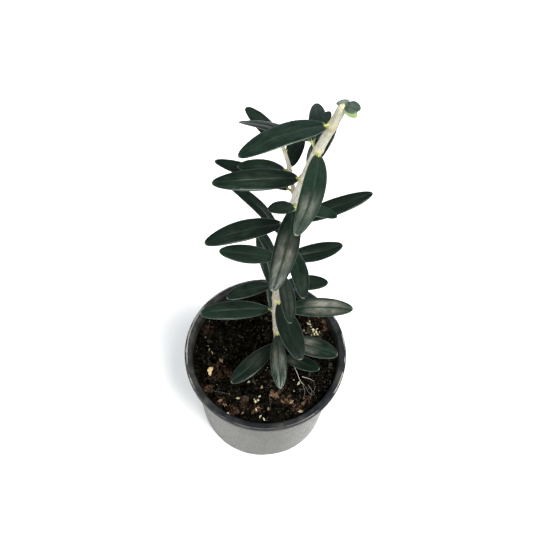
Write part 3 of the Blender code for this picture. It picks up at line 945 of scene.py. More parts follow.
# %% Where they lie
CHIPS = [
    (-28.7, -4.3, 3.6, 2.4, 0.45), (-37.0, -24.5, 3.6, 1.8, 0.35),
    (-34.4, -23.0, 3.0, 1.5, 0.3), (-27.5, -32.4, 3.0, 1.8, 0.55), (-24.6, -34.2, 3.2, 1.4, 0.5),
    (-12.7, -39.2, 2.6, 1.4, 0.4), (3.7, -35.6, 2.6, 1.4, 0.45), (7.0, -26.0, 5.6, 3.4, 0.4),
    (5.2, -27.4, 3.4, 2.0, 0.5), (-1.4, -21.1, 2.6, 1.6, 0.6), (18.2, -30.2, 2.9, 1.9, 0.6),
    (24.6, -28.8, 2.6, 1.2, 0.5), (19.8, -23.0, 2.2, 1.1, 0.6), (-3.0, -35.4, 2.3, 1.6, 0.7),
    (-30.0, -9.0, 4.0, 2.2, 0.15), (-25.0, -12.0, 3.6, 2.2, 0.2), (-6.0, -38.4, 3.0, 1.8, 0.2),
    (26.0, -31.0, 3.2, 1.9, 0.3), (15.0, -29.0, 3.0, 1.7, 0.3), (37.0, 27.0, 4.0, 2.6, 0.3),
    (34.2, 30.6, 3.0, 2.0, 0.25), (39.0, 22.0, 3.0, 2.1, 0.2), (-39.0, 18.4, 3.6, 2.0, 0.25),
    (-12.0, -30.5, 2.6, 1.5, 0.3), (-16.2, -38.6, 3.2, 2.4, 0.2), (12.6, -30.6, 2.6, 1.6, 0.4),
]
GRAINS = [
    (-3.8, -37.0, 3.0, 1.4, 1.0), (-21.9, -40.0, 2.3, 1.0, 0.8), (-1.4, -40.9, 2.2, 1.4, 0.7),
    (1.2, -42.6, 1.8, 1.0, 0.95), (24.2, -36.2, 2.6, 1.9, 0.55), (-2.4, -28.2, 2.1, 1.4, 0.9),
    (-4.6, -31.2, 1.9, 1.6, 0.9), (-3.2, -30.2, 1.4, 1.1, 0.8), (-5.4, -29.4, 1.2, 0.9, 0.7),
    (-16.2, -30.0, 2.2, 1.4, 0.45), (-9.7, -18.0, 2.0, 1.4, 0.5), (22.4, -17.7, 2.4, 1.3, 0.6),
    (-36.9, 2.6, 2.0, 1.0, 0.2), (-37.8, 4.9, 1.5, 0.8, 0.2), (-34.8, 0.6, 2.2, 0.9, 0.3),
    (27.4, 25.0, 2.1, 1.4, 0.5), (29.5, 22.9, 1.7, 1.2, 0.5), (28.4, 26.6, 1.4, 0.9, 0.5),
    (29.2, 24.4, 1.5, 1.1, 0.8), (30.6, 20.6, 2.1, 1.4, 0.8), (32.9, 19.4, 2.2, 1.5, 0.9),
    (31.6, 17.6, 2.1, 1.2, 0.7), (34.0, 17.4, 1.8, 1.1, 0.8), (33.4, 21.3, 1.5, 1.0, 0.6),
    (32.0, 20.4, 1.6, 1.0, 0.5), (24.8, 19.9, 1.7, 1.2, 0.25), (26.4, 18.2, 1.4, 1.0, 0.25),
    (35.2, 19.9, 1.4, 0.9, 0.5), (30.0, 16.4, 1.4, 1.0, 0.4), (31.0, 19.0, 1.6, 1.2, 0.55),
]
print("chips", len(CHIPS), "and grains", len(GRAINS))

# %% Chips and grit
SMALL_GRAIN_COUNT = 70


def laid(rows, flatness):
    """Places for the listed bits, lying on the compost at random turns."""
    found = []
    for x, y, length, width, tone in rows:
        turn = random_turn(maker, 0.35)
        centre = Vector((x * MM, y * MM, compost_height(x * MM, y * MM) + width * 0.22 * MM))
        sizes = (length / 2 * MM, width / 1.5 * MM, width * flatness * MM)
        found.append((centre, turn, sizes, tone))
    return found


scatter("bark_chips", [stone(seed, 0.8, 2, 0.9) for seed in (3, 7, 12)], laid(CHIPS, 0.4), CHIP)
places = laid(GRAINS, 0.6)
for _ in range(SMALL_GRAIN_COUNT):
    size = maker.uniform(0.15, 0.45) * MM
    turn = random_turn(maker)
    places.append((on_compost(maker, size * 0.5), turn, (size, size, size), maker.uniform(0.0, 0.6)))
scatter("cream_grit", [stone(seed, 1.0, 2, 0.8) for seed in (4, 8, 13)], places, CREAM)

# %% Splinter
SPLINTER_PLACE = Vector((-35.0, -12.4)) * MM
SPLINTER_SIZES = (2.9 * MM, 1.9 * MM, 1.5 * MM)
SPLINTER_TURN = math.radians(78.0)
SPLINTER_LIFT = 0.6 * MM

centre = Vector((*SPLINTER_PLACE, compost_height(*SPLINTER_PLACE) + SPLINTER_LIFT))
turn = Matrix.Rotation(SPLINTER_TURN, 4, "Z").to_quaternion()
scatter("tan_splinter", [stone(16, 0.9, 2, 0.9)], [(centre, turn, SPLINTER_SIZES, 1.0)], TAN)

# %% [markdown]
# ## Pale rootlets
#
# In front of the stem on the right a few pale dead rootlets lie across the compost. They are long and each
# goes its own way, so each is a tube along its own few points, smoothed.

# %% Pale rootlets
ROOTLET_STEPS = 8  # between two knots
ROOTLET_SIDES = 6
ROOTLETS = [  # radius, tone, then the knots as (x, y, height above the compost)
    (0.20, 0.85, [(16.3, -3.0, 6.0), (20.4, -10.0, 4.0), (23.8, -16.4, 1.6), (26.2, -18.6, 0.6)]),
    (0.15, 0.75, [(24.4, -13.5, 2.6), (28.3, -14.4, 2.2), (32.2, -15.1, 1.0)]),
    (0.14, 0.25, [(3.9, -26.6, 1.0), (4.5, -31.2, 1.4), (5.1, -36.2, 0.8)]),
    (0.16, 0.22, [(-32.0, -25.8, 0.9), (-25.9, -26.8, 1.3), (-19.4, -28.5, 0.8)]),
    (0.14, 0.34, [(25.2, -18.6, 0.8), (26.6, -24.0, 1.8), (25.5, -28.8, 0.6)]),
    (0.14, 0.38, [(28.4, -18.5, 0.8), (31.1, -23.1, 1.9), (30.0, -27.8, 0.6)]),
    (0.13, 0.30, [(33.6, -18.2, 0.8), (32.4, -23.7, 1.6), (34.5, -27.6, 0.6)]),
    (0.12, 0.30, [(22.7, -21.5, 0.8), (25.9, -22.0, 2.0), (30.4, -20.4, 0.8)]),
    (0.12, 0.30, [(27.0, -20.0, 0.9), (29.5, -24.5, 1.5), (33.5, -25.0, 0.7)]),
]


def smooth_path(knots, steps):
    """Points along a smooth curve through the knots: a Catmull-Rom spline, drawn on past its end knots."""
    knots = [2 * knots[0] - knots[1], *knots, 2 * knots[-1] - knots[-2]]
    points = []
    for before, start, end, after in zip(knots, knots[1:], knots[2:], knots[3:]):
        for step in range(steps):
            t = step / steps
            bend = 2 * before - 5 * start + 4 * end - after
            swing = 3 * start - before - 3 * end + after
            points.append(0.5 * (2 * start + (end - before) * t + bend * t**2 + swing * t**3))
    points.append(knots[-2])
    return points


def over_compost(knot):
    """A place at a height over the compost's surface, from millimetres."""
    x, y, height = (size * MM for size in knot)
    return Vector((x, y, compost_height(x, y) + height))


strands = []
for thickness, tone, knots in ROOTLETS:
    points = smooth_path([over_compost(knot) for knot in knots], ROOTLET_STEPS)
    body = tube(points, lambda share, angle: thickness * MM * (1.15 - 0.8 * share), ROOTLET_SIDES)
    strands.append(mark(mark(body, "tone", tone), "rust", 0.0))
add_piece(joined(strands), "pale_rootlets", ROOTLET, "compost")
print("rootlets", len(ROOTLETS))

# %% [markdown]
# ## Bark
#
# A first-year olive stem is smooth and pale, beige with a grey bloom, streaked lengthwise and greener
# towards the tip. It darkens to a yellow-brown collar at each joint. The streaks have to run along the
# stem where it leans, so they are noise on the stem's own map, wrapped round by a sine and a cosine so
# that no seam shows.

# %% Bark finish
def bark_finish():
    finish = Finish("young olive bark", Specular_IOR_Level=0.35)
    along, around = finish.uv()
    turn = around * (2 * math.pi)
    wrapped = finish.vector(turn.cos() * 2.2, turn.sin() * 2.2, along * 26.0)
    streaks = finish.noise(wrapped, 3.2, 5.0, 0.65)
    where = finish.place()
    rings = finish.vector(turn.cos() * 3, turn.sin() * 3, along * 210.0)
    flecks = finish.noise(rings, 1.6, 3.0).ramp(0.62, 0.72)
    patches = finish.noise(where, 90.0, 3.0).ramp(0.4, 0.65)
    joint = finish.attribute("joint")
    streaky = streaks.ramp(0.34, 0.66)
    beige = finish.mix(streaky, (0.15, 0.13, 0.095), (0.335, 0.315, 0.26))
    bloom = finish.mix(streaky, (0.27, 0.25, 0.20), (0.49, 0.475, 0.42))
    pale = finish.mix(along.ramp(0.40, 0.80), beige, bloom)
    green = finish.mix(along.ramp(0.78, 0.96) * (0.3 + patches * 0.5), pale, (0.23, 0.22, 0.13))
    flecked = finish.mix(flecks * 0.5, green, (0.13, 0.085, 0.045))
    colour = finish.mix(joint * (0.50 + patches * 0.45), flecked, (0.28, 0.22, 0.075))
    relief = streaks + flecks * 0.6 + finish.noise(where, 2600.0, 3.0) * 0.3
    rough = 0.5 + streaks * 0.2
    return finish.feed(Base_Color=colour, Roughness=rough, Normal=finish.bump(relief, 0.12 * MM, 0.8))


BARK = bark_finish()
print("made", BARK.name)

# %% [markdown]
# ## Stem and side shoot
#
# Both follow the same centrelines and taper as the solids that they stand for, from the same few knots.
# On top of that come the marks of growth: four low ridges that run down from the leaf bases, fine
# fissures, a swelling at each joint and a shoulder under each leaf. A displacement modifier could add
# noise, but it wouldn't know where the leaves are.

# %% Knots and radii
STEM_KNOTS = [  # x, y and height above the compost, in millimetres
    (9.5, -2.5, 0.0), (7.2, -0.8, 35.0), (5.1, 0.9, 71.0), (4.4, 2.6, 104.0), (5.6, 4.8, 147.0),
    (9.3, 6.8, 188.0), (16.1, 8.8, 226.0), (23.4, 10.2, 254.5), (26.5, 10.8, 267.5),
]
SHOOT_KNOTS = [
    (10.3, 10.65, 190.4), (8.7, 12.6, 196.7), (7.1, 14.4, 203.8), (5.8, 16.2, 210.7), (3.2, 18.6, 219.8),
]
STEM_RADII = (2.6 * MM, 2.05 * MM)
SHOOT_RADII = (1.1 * MM, 0.95 * MM)
FLARE = 0.9 * MM
FLARE_HEIGHT = 4.0 * MM
JOINT_SWELL = 0.3 * MM
JOINT_REACH = 2.2 * MM
PATH_STEPS = 12  # between two knots


def place_of(knot):
    """A place at a height over the level compost, from millimetres."""
    x, y, height = knot
    return Vector((x * MM, y * MM, COMPOST_TOP + height * MM))


print("knots:", len(STEM_KNOTS), "and", len(SHOOT_KNOTS))

# %% Leaves by joint
# (joint's height, [(side, heading, rise, reach, width, sweep)]), in millimetres and degrees.
STEM_LEAVES = [
    (11.0, [("right", -27, 22, 31, 9.0, 0.03)]),
    (32.0, [("left", -131.5, 5, 41.4, 11.5, -0.02), ("right", -17, 12.5, 39.4, 12.6, -0.01)]),
    (48.5, [("front", -84.5, -4.5, 37.6, 10.0, 0.01), ("back", 97, 21, 36, 11.5, 0.0)]),
    (75.0, [("left", -167.5, 13, 46, 12.0, 0.0), ("right", -4.2, 17, 46, 11.5, 0.0)]),
    (89.0, [("front", -69, 7, 42, 13.0, 0.0), ("back", 110, 26, 40, 9.0, -0.01)]),
    (106.5, [("left", -151, 19, 33, 9.0, 0.02), ("right", -8.5, 26, 31, 9.5, 0.01)]),
    (124.0, [("front", -79, 13, 37, 8.5, -0.03), ("back", 126, 24, 28, 7.0, 0.03)]),
    (137.5, [("left", -169.5, 24, 36, 10.7, -0.03), ("right", 3, 24, 35, 10.0, 0.055)]),
    (154.5, [("front", -73, 10, 37.5, 9.6, -0.05), ("back", 142, 21, 42, 7.4, 0.05)]),
    (172.5, [("left", -155, 11, 45.5, 11.7, 0.01), ("right", 17, 16, 45, 9.8, 0.03)]),
    (190.0, [("front", -100, 2, 49, 12.0, -0.03)]),
    (213.0, [("left", -165.5, 12, 45, 11.6, -0.02), ("back", 56, 36, 29, 8.6, -0.03)]),
    (236.0, [("front", -101, 4, 47, 10.8, -0.045), ("back", 92, -13, 31, 8.6, 0.0)]),
    (254.5, [("left", -153, 3, 44.8, 12.8, 0.035)]),
]
SHOOT_LEAVES = [
    (193.5, [("left", 166.6, 14, 41.6, 8.2, 0.0)]),
    (207.0, [("left", -172, 16, 26, 8.4, 0.01), ("back", 78, -4, 25.5, 8.6, -0.02)]),
]
print("joints:", len(STEM_LEAVES), "and", len(SHOOT_LEAVES))

# %% Limbs
RIDGE_COUNT = 4
RIDGE_RISE = 0.035  # as a share of the radius, like the shoulder's
FISSURES = [(0.05 * MM, 2.2), (0.10 * MM, 0.6)]  # rise and fineness
SHOULDER_RISE = 0.26
SHOULDER_SPREAD = 0.55  # round the limb, in radians
SHOULDER_HEIGHT = 1.5 * MM
SHOULDER_DROP = 0.7 * MM
SHOULDER_REACH = 4.0 * MM  # it has died away this far from the joint
COLLAR_REACH = 1.6 * MM


class Limb:
    """A tapering limb that climbs all the way, so that a height names one place on it."""

    def __init__(self, knots, radii, joints, flare=0.0):
        self.path = smooth_path([place_of(knot) for knot in knots], PATH_STEPS)
        self.foot = self.path[0].z
        self.tip = self.path[-1].z
        self.radii = radii
        self.flare = flare
        self.joints = [(COMPOST_TOP + height * MM, leaves) for height, leaves in joints]

    def at(self, z):
        for low, high in zip(self.path, self.path[1:]):
            if z <= high.z:
                break
        return low.lerp(high, (z - low.z) / (high.z - low.z))

    def axis(self, z):
        return (self.at(z + MM) - self.at(z - MM)).normalized()

    def radius(self, z):
        foot_radius, tip_radius = self.radii
        radius = foot_radius + (tip_radius - foot_radius) * (z - self.foot) / (self.tip - self.foot)
        radius += self.flare * math.exp(-(z - self.foot) / FLARE_HEIGHT)
        for joint, _ in self.joints:
            radius += JOINT_SWELL * math.exp(-(((z - joint) / JOINT_REACH) ** 2) * 2)
        return radius

    def relief(self, z, heading, seed):
        """What stands out from the round limb at a height and heading."""
        share = (z - self.foot) / (self.tip - self.foot)
        size = self.radius(z)
        ridges = RIDGE_RISE * size * (0.4 + share) * math.cos(RIDGE_COUNT * heading + 0.6)
        spot = Vector((math.cos(heading) * 1.6, math.sin(heading) * 1.6, z / (5 * MM) + seed))
        fissures = sum(rise * noise.noise(spot * fineness) for rise, fineness in FISSURES)
        shoulder = 0.0
        for joint, leaves in self.joints:
            if abs(z - joint) > SHOULDER_REACH:
                continue
            for leaf in leaves:
                apart = (heading - math.radians(leaf[1]) + math.pi) % (2 * math.pi) - math.pi
                level = (z - joint + SHOULDER_DROP) / SHOULDER_HEIGHT
                shoulder += SHOULDER_RISE * size * math.exp(-((apart / SHOULDER_SPREAD) ** 2) - level**2)
        return ridges + fissures + shoulder

    def nearness(self, z):
        """1 at a joint, 0 well away from one."""
        return max(math.exp(-(((z - joint) / COLLAR_REACH) ** 2)) for joint, _ in self.joints)


STEM = Limb(STEM_KNOTS, STEM_RADII, STEM_LEAVES, FLARE)
SHOOT = Limb(SHOOT_KNOTS, SHOOT_RADII, SHOOT_LEAVES)
print("stem", round((STEM.tip - STEM.foot) / MM), "mm tall")

# %% Stem and side shoot
ROW_STEP = 0.5 * MM
STEM_SIDES = 48
SHOOT_SIDES = 24
STEM_SEED = 3.0
SHOOT_SEED = 40.0
SHOOT_TAN = 0.4  # the side shoot is a little tanner than the stem
SINK = 2.0 * MM  # the stem goes on this far down into the compost


def limb_body(limb, sides, sunk, seed, tan):
    """The limb with its relief, and how tan it is at each point."""
    rows = round((limb.tip - limb.foot + sunk) / ROW_STEP)
    heights = [limb.foot - sunk + (limb.tip - limb.foot + sunk) * row / rows for row in range(rows + 1)]
    points = []
    for z in heights:
        point = limb.at(max(z, limb.foot))
        points.append(Vector((point.x, point.y, z)))
    frames = []
    for z in heights:
        axis = limb.axis(min(max(z, limb.foot + MM), limb.tip - MM))
        side = (Vector((1, 0, 0)) - axis * axis.x).normalized()
        frames.append((side, axis.cross(side)))

    def surface(share, angle):
        z = heights[round(share * rows)]
        level = max(z, limb.foot)
        return limb.radius(level) + limb.relief(level, angle, seed)

    bm = tube(points, surface, sides, frames)
    joint = bm.verts.layers.float.new("joint")
    for vert in bm.verts:
        vert[joint] = max(tan, limb.nearness(vert.co.z))
    return bm


stem_body = limb_body(STEM, STEM_SIDES, SINK, STEM_SEED, 0.0)
shoot_body = limb_body(SHOOT, SHOOT_SIDES, 0.0, SHOOT_SEED, SHOOT_TAN)
stem = add_piece(stem_body, "stem_bark", BARK, "bark", ["stem"])
shoot = add_piece(shoot_body, "side_shoot_bark", BARK, "bark", ["side_shoot"])
print("stem faces", len(stem.data.polygons), "and side shoot faces", len(shoot.data.polygons))

# %% [markdown]
# ## Leaf finish
#
# An olive leaf is leathery. Above it is dark green under a grey wax, with the midrib as a fine pale line;
# below it is felted with silver scales; the margin is thin and pale. One material covers a whole leaf,
# because its parts are told apart by the leaf's own map (along and across) and by numbers on its points:
# `under` is 1 below, `stalk` is 1 on the petiole, `tone` sets each leaf a little apart and on a few is a
# painted shade or light, and `dust_film_and_painted_sheen`, `sheen_from`, `sheen_to` and `sheen_side` say
# how much painted sheen lies on it and where.

# %% Leaf finish
def leaf_finish(name, above, dark, below, stalk, roughness):
    """Waxed above, silver below, with a pale rib, margin and stalk."""
    finish = Finish(name, Specular_IOR_Level=0.22, Specular_Tint=(0.90, 1.0, 0.93, 1.0))
    along, across = finish.uv()
    side = across * 2.0 - 1.0
    out = abs(side)
    where = finish.place()
    tone = finish.attribute("tone")
    under = finish.attribute("under")
    petiole = finish.attribute("stalk")
    dust_film_and_painted_sheen = finish.attribute("dust_film_and_painted_sheen")
    sheen_from = finish.attribute("sheen_from")
    sheen_to = finish.attribute("sheen_to")
    sheen_side = finish.attribute("sheen_side")
    mottle = finish.noise(where, 190.0, 4.0, 0.6)
    grain = finish.noise(where, 1500.0, 3.0, 0.65)
    scales = finish.noise(where, 4200.0, 2.0, 0.6)
    streaks = finish.noise(finish.vector(along * 5.0, across * 7.0, tone * 40.0), 1.0, 3.0, 0.6)
    veins = ((along * 11.0 - out * 1.8) * (2 * math.pi)).sin() * 0.5 + 0.5
    rib = out.ramp(0.09, 0.015) * along.ramp(1.0, 0.5)
    margin = out.ramp(0.92, 1.0)
    tip = along.ramp(0.975, 1.0)

    shade = mottle.ramp(0.3, 0.7) * 0.4 + streaks.ramp(0.3, 0.7) * 0.4
    shade = shade + (grain - 0.5) * 0.8 + tone * 0.5 + 0.05
    upper = finish.mix(shade.ramp(0.0, 1.2), dark, above)
    upper = finish.mix(rib * 0.16, upper, (0.040, 0.060, 0.034))
    upper = finish.mix(margin * 0.30, upper, (0.10, 0.125, 0.10))
    upper = finish.mix(tip * 0.6, upper, (0.14, 0.15, 0.10))
    # The painted sheen: a pale grey-green laid over the upper side, where and as much as the leaf's numbers
    # say.
    patches = finish.noise(where, 75.0, 3.0, 0.6).ramp(0.36, 0.62)
    sheen_mask = (0.55 + streaks.ramp(0.35, 0.68) * 0.45) * (0.85 + veins * 0.15) * (0.4 + patches * 0.6)
    sheen_mask = sheen_mask * along.ramp(sheen_from, sheen_from + 0.34) * along.ramp(sheen_to, sheen_to - 0.30)
    sheen_mask = sheen_mask * out.ramp(0.95, 0.45) * out.ramp(0.0, 0.18) * dust_film_and_painted_sheen
    sheen_mask = sheen_mask * (1.0 + side * sheen_side).ramp(0.0, 1.0)
    upper = finish.mix(sheen_mask, upper, (0.126, 0.124, 0.104))
    lower = finish.mix(scales.ramp(0.3, 0.7), below, (0.135, 0.145, 0.125))
    lower = finish.mix(rib * 0.6, lower, (0.13, 0.15, 0.09))
    blade = finish.mix(under, upper, lower)
    whole = finish.mix(petiole * mottle.ramp(0.1, 0.5), blade, stalk)
    colour = finish.mix(along.ramp(0.04, 0.0) * 0.7 * (1.0 - petiole), whole, stalk)

    rough = roughness + (mottle - 0.5) * 0.14 + (streaks - 0.5) * 0.22 + under * 0.3
    relief = scales * 0.2 + veins * out.ramp(0.05, 0.3) * 0.25 - rib * 0.5 + mottle * 0.5 + streaks * 1.1
    return finish.feed(Base_Color=colour, Roughness=rough, Normal=finish.bump(relief, 0.10 * MM, 0.8))


print("leaf finish ready")

# %% Three ages of leaf
# The colours are those of the pale and the dark places above, of the underside and of the stalk.
LEAF = leaf_finish(
    "olive leaf",
    (0.0070, 0.0175, 0.0105),
    (0.0018, 0.0052, 0.0032),
    (0.070, 0.080, 0.068),
    (0.24, 0.26, 0.085),
    0.31,
)
YOUNG_LEAF = leaf_finish(
    "young olive leaf",
    (0.055, 0.076, 0.062),
    (0.018, 0.028, 0.021),
    (0.10, 0.14, 0.085),
    (0.28, 0.30, 0.16),
    0.36,
)
TENDER_LEAF = leaf_finish(
    "tender green leaf",
    (0.15, 0.21, 0.085),
    (0.085, 0.13, 0.05),
    (0.12, 0.18, 0.08),
    (0.30, 0.32, 0.16),
    0.5,
)
print("made", LEAF.name + ",", YOUNG_LEAF.name, "and", TENDER_LEAF.name)

# %% [markdown]
# ## Leaves
#
# A leaf's middle line starts in the limb's centre, rises at its own angle and bows. The blade is a grid
# laid along that line: each half is slightly convex, with the midrib sunk between the halves and the
# margin rolled down, which is what gives the two long highlights. `solidify` then gives the sheet its
# thickness, and the new points that it adds are the underside. A curved plane with an alpha outline would
# be cheaper, but it has no edge, and the edge catches the light.

# %% Leaf's middle line
LEAF_ARCH = 0.06  # the bow up, as a share of the reach
ROLL_WITH_SWEEP = 180.0  # degrees; a leaf that bends aside also rolls
LOW_SKEW = 1.25
SKEW_FALL = 1.5  # for each metre up
PLAIN_SKEW = 0.95


def direction(heading, rise):
    """The direction at a heading round the stem's axis and a rise over the level, in degrees."""
    heading = math.radians(heading)
    rise = math.radians(rise)
    level = math.cos(rise)
    return Vector((level * math.cos(heading), level * math.sin(heading), math.sin(rise)))


def blade_skew(height):
    """Above 1, a leaf is widest past its middle. Low leaves are, and high ones are widest nearer the stem."""
    return LOW_SKEW - SKEW_FALL * height


class LeafLine:
    """The middle line of a leaf."""

    def __init__(self, root, heading, rise, reach, sweep, roll=0.0, face=0.0, skew=PLAIN_SKEW):
        self.root = root
        self.reach = reach
        self.face = math.radians(face)
        self.skew = skew
        self.along = direction(heading, rise)
        side = self.along.cross(Vector((0, 0, 1))).normalized()
        turn = Matrix.Rotation(math.radians(roll + ROLL_WITH_SWEEP * sweep), 3, self.along)
        self.side = turn @ side
        self.bend = self.side.cross(self.along) * LEAF_ARCH + self.side * sweep

    def at(self, share):
        """The place on the line, and the directions across the leaf and up from it."""
        bow = 4 * self.reach * share * (1 - share)
        centre = self.root + self.along * (self.reach * share) + self.bend * bow
        slope = (self.along + self.bend * (4 * (1 - 2 * share))).normalized()
        normal = Matrix.Rotation(self.face, 3, slope) @ self.side.cross(slope).normalized()
        return centre, slope.cross(normal), normal


print("a low leaf's skew", LOW_SKEW, "and one 200 mm up", round(blade_skew(200 * MM), 2))

# %% Blade
LEAF_SHEET = 0.32 * MM
LEAF_TIP_WIDTH = 0.5 * MM
BLADE_BLUNTNESS = 0.48  # the smaller, the blunter are the ends
BLADE_ROWS = 34
BLADE_COLUMNS = 20
HALF_RISE = 0.10  # how steeply the halves leave the midrib
HALF_CURL = 0.10  # and how far they curl down again
RIB_DEPTH = 0.07 * MM
RIB_WIDTH = 0.45 * MM
WAVE = 0.28 * MM
WAVES_ALONG = 3.6
WAVES_ACROSS = 1.5
PETIOLE_RADIUS = 0.65 * MM


def blade_half_width(share, skew):
    """A leaf's half width along its blade, from 0 to 1: narrow oval, blunt at both ends."""
    return math.sin(math.pi * share**skew) ** BLADE_BLUNTNESS


def blade_body(line, width, foot, seed):
    """The blade, from the share of the line where it begins to the tip."""
    bm = patch(BLADE_ROWS, BLADE_COLUMNS, close_ends, close_middle)
    petiole = min(PETIOLE_RADIUS, width / 4)
    for vert in bm.verts:
        blade = vert.co.x
        out = 1.0 - 2.0 * vert.co.y
        centre, across, normal = line.at(foot + (1 - foot) * blade)
        narrow = petiole * 0.9 * (1 - blade) + LEAF_TIP_WIDTH / 2 * blade
        half = max(narrow, width / 2 * blade_half_width(blade, line.skew))
        lift = half * (HALF_RISE * abs(out) - HALF_CURL * abs(out) ** 3)
        lift -= RIB_DEPTH * math.exp(-((out * half / RIB_WIDTH) ** 2)) * (1 - 0.7 * blade)
        wave = noise.noise(Vector((blade * WAVES_ALONG, out * WAVES_ACROSS, seed)))
        lift += WAVE * wave * (0.3 + abs(out)) * min(1.0, half / (2 * MM))
        vert.co = centre + across * (half * out) + normal * lift
    bm.normal_update()
    above = len(bm.verts)
    bmesh.ops.solidify(bm, geom=bm.faces[:], thickness=LEAF_SHEET)
    under = bm.verts.layers.float.new("under")
    bm.verts.ensure_lookup_table()
    for vert in bm.verts[above:]:
        vert[under] = 1.0
    return mark(bm, "stalk", 0.0)


print("leaf sheet", round(LEAF_SHEET / MM, 2), "mm, grid", BLADE_ROWS, "by", BLADE_COLUMNS)

# %% Each leaf's own look
SHEEN_LAYERS = ("dust_film_and_painted_sheen", "sheen_from", "sheen_to", "sheen_side")
PLAIN_SHEEN = (0.04, 0.08, 1.0, 0.0)
# A painted sheen lies on a few leaves, and a faint one on all the others: how much, the shares of the leaf
# between which it lies, and which half of the leaf has more, from -1 to 1.
PAINTED_SHEEN = {
    "leaf_01_right": (0.35, 0.00, 0.60, 0.0), "leaf_02_left": (0.14, 0.05, 0.75, 0.0),
    "leaf_02_right": (0.90, 0.00, 0.75, 0.0), "leaf_03_front": (0.55, 0.00, 0.80, 0.0),
    "leaf_04_right": (1.25, 0.25, 1.00, 0.0), "leaf_07_front": (0.25, 0.08, 1.00, 0.0),
    "leaf_08_right": (0.00, 0.08, 1.00, 0.0), "leaf_09_front": (0.30, 0.55, 1.00, 0.0),
    "leaf_11_front": (0.80, 0.26, 1.00, 0.2), "leaf_13_front": (0.62, 0.40, 0.96, 0.0),
}
# Set tones: below 0 is painted shade and above 0 painted light on these leaves. The others draw theirs.
PAINTED_LIGHT_AND_SHADE = {
    "leaf_05_front": -0.9, "leaf_08_right": -1.0, "leaf_10_right": -1.0, "leaf_12_left": 0.0,
    "leaf_08_left": 0.8, "leaf_10_left": -0.3, "leaf_01_right": -1.0, "leaf_02_left": -0.8,
    "leaf_04_left": 0.5, "leaf_13_front": 0.5,
}
print("sheened leaves", len(PAINTED_SHEEN), "and leaves with a tone of their own", len(PAINTED_LIGHT_AND_SHADE))

# %% Whole leaf
PETIOLE_STEPS = 7
PETIOLE_SIDES = 10
PETIOLE_TUCK = 0.03  # the stalk goes on this far under the blade, as a share of the leaf


def petiole_body(line, width, inside, first):
    """The short stalk, from inside the limb to under the foot of the blade."""
    length = first + PETIOLE_TUCK - inside
    shares = [inside + length * step / PETIOLE_STEPS for step in range(PETIOLE_STEPS + 1)]
    points = [line.at(share)[0] for share in shares]
    radius = min(PETIOLE_RADIUS, width / 4)
    bm = tube(points, lambda share, angle: radius * (1.45 - 0.75 * share**0.5), PETIOLE_SIDES)
    mark(bm, "under", 0.0)
    return mark(bm, "stalk", 1.0)


def leaf_body(line, width, inside, first, name):
    """Blade and stalk, with the leaf's own wave, tone and painted sheen. Its name is the seed."""
    maker = random.Random(name)
    seed = maker.uniform(0, 50)
    # A few leaves take a painted shade or light as their tone; the others draw a random one.
    tone = PAINTED_LIGHT_AND_SHADE.get(name, maker.uniform(-0.5, 0.5))
    body = joined([blade_body(line, width, first, seed), petiole_body(line, width, inside, first)])
    for layer, amount in zip(SHEEN_LAYERS, PAINTED_SHEEN.get(name, PLAIN_SHEEN)):
        mark(body, layer, amount)
    return mark(body, "tone", tone)


print("leaf shape ready")

# %% Leaves on the stem and the side shoot
PETIOLE_SHARE = 0.008  # the blade begins this share of the leaf beyond the bark
STALK_INSIDE = 0.55  # the stalk begins this share of the way from the limb's middle to its bark
TURNED = {  # degrees that a few leaves are turned about their own line
    "leaf_02_right": 8, "leaf_04_right": 10, "leaf_11_front": -6, "leaf_13_front": -7, "leaf_14_left": 5,
    "leaf_07_front": -4, "leaf_02_left": 6, "leaf_10_right": -8, "leaf_03_back": 25, "leaf_05_back": 20,
    "leaf_07_back": 20,
}


def leaf_start(limb, z, line):
    """The share of a leaf's line at which it leaves the limb."""
    slope = line.along + line.bend * 4
    lean = abs(slope.normalized().dot(limb.axis(z)))
    distance = (limb.radius(z) + CLEARANCE + PETIOLE_RADIUS * lean) / math.sqrt(1 - lean**2)
    return distance / (line.reach * slope.length)


def add_leaves(limb, label):
    """A piece for each leaf of a limb, on the leaf's own solid."""
    for number, (z, leaves) in enumerate(limb.joints, start=1):
        for side, heading, rise, reach, width, sweep in leaves:
            node = f"{label}_{number:02d}_{side}"
            skew = blade_skew(z - COMPOST_TOP)
            line = LeafLine(limb.at(z), heading, rise, reach * MM, sweep, 0.0, TURNED.get(node, 0.0), skew)
            start = leaf_start(limb, z, line)
            body = leaf_body(line, width * MM, start * STALK_INSIDE, start + PETIOLE_SHARE, node)
            add_piece(body, f"olive_{node}", LEAF, "leaf", [node])


add_leaves(STEM, "leaf")
add_leaves(SHOOT, "side_leaf")

# %% [markdown]
# ## Growing tips
#
# Where several small leaves share one short twig, the solids are fused masses. Here each mass becomes its
# twig and its leaves, by the same lists: the share of the twig that a leaf stands at, then its heading,
# rise, reach, width, sweep and roll. Small leaves that have only just opened are a paler green.

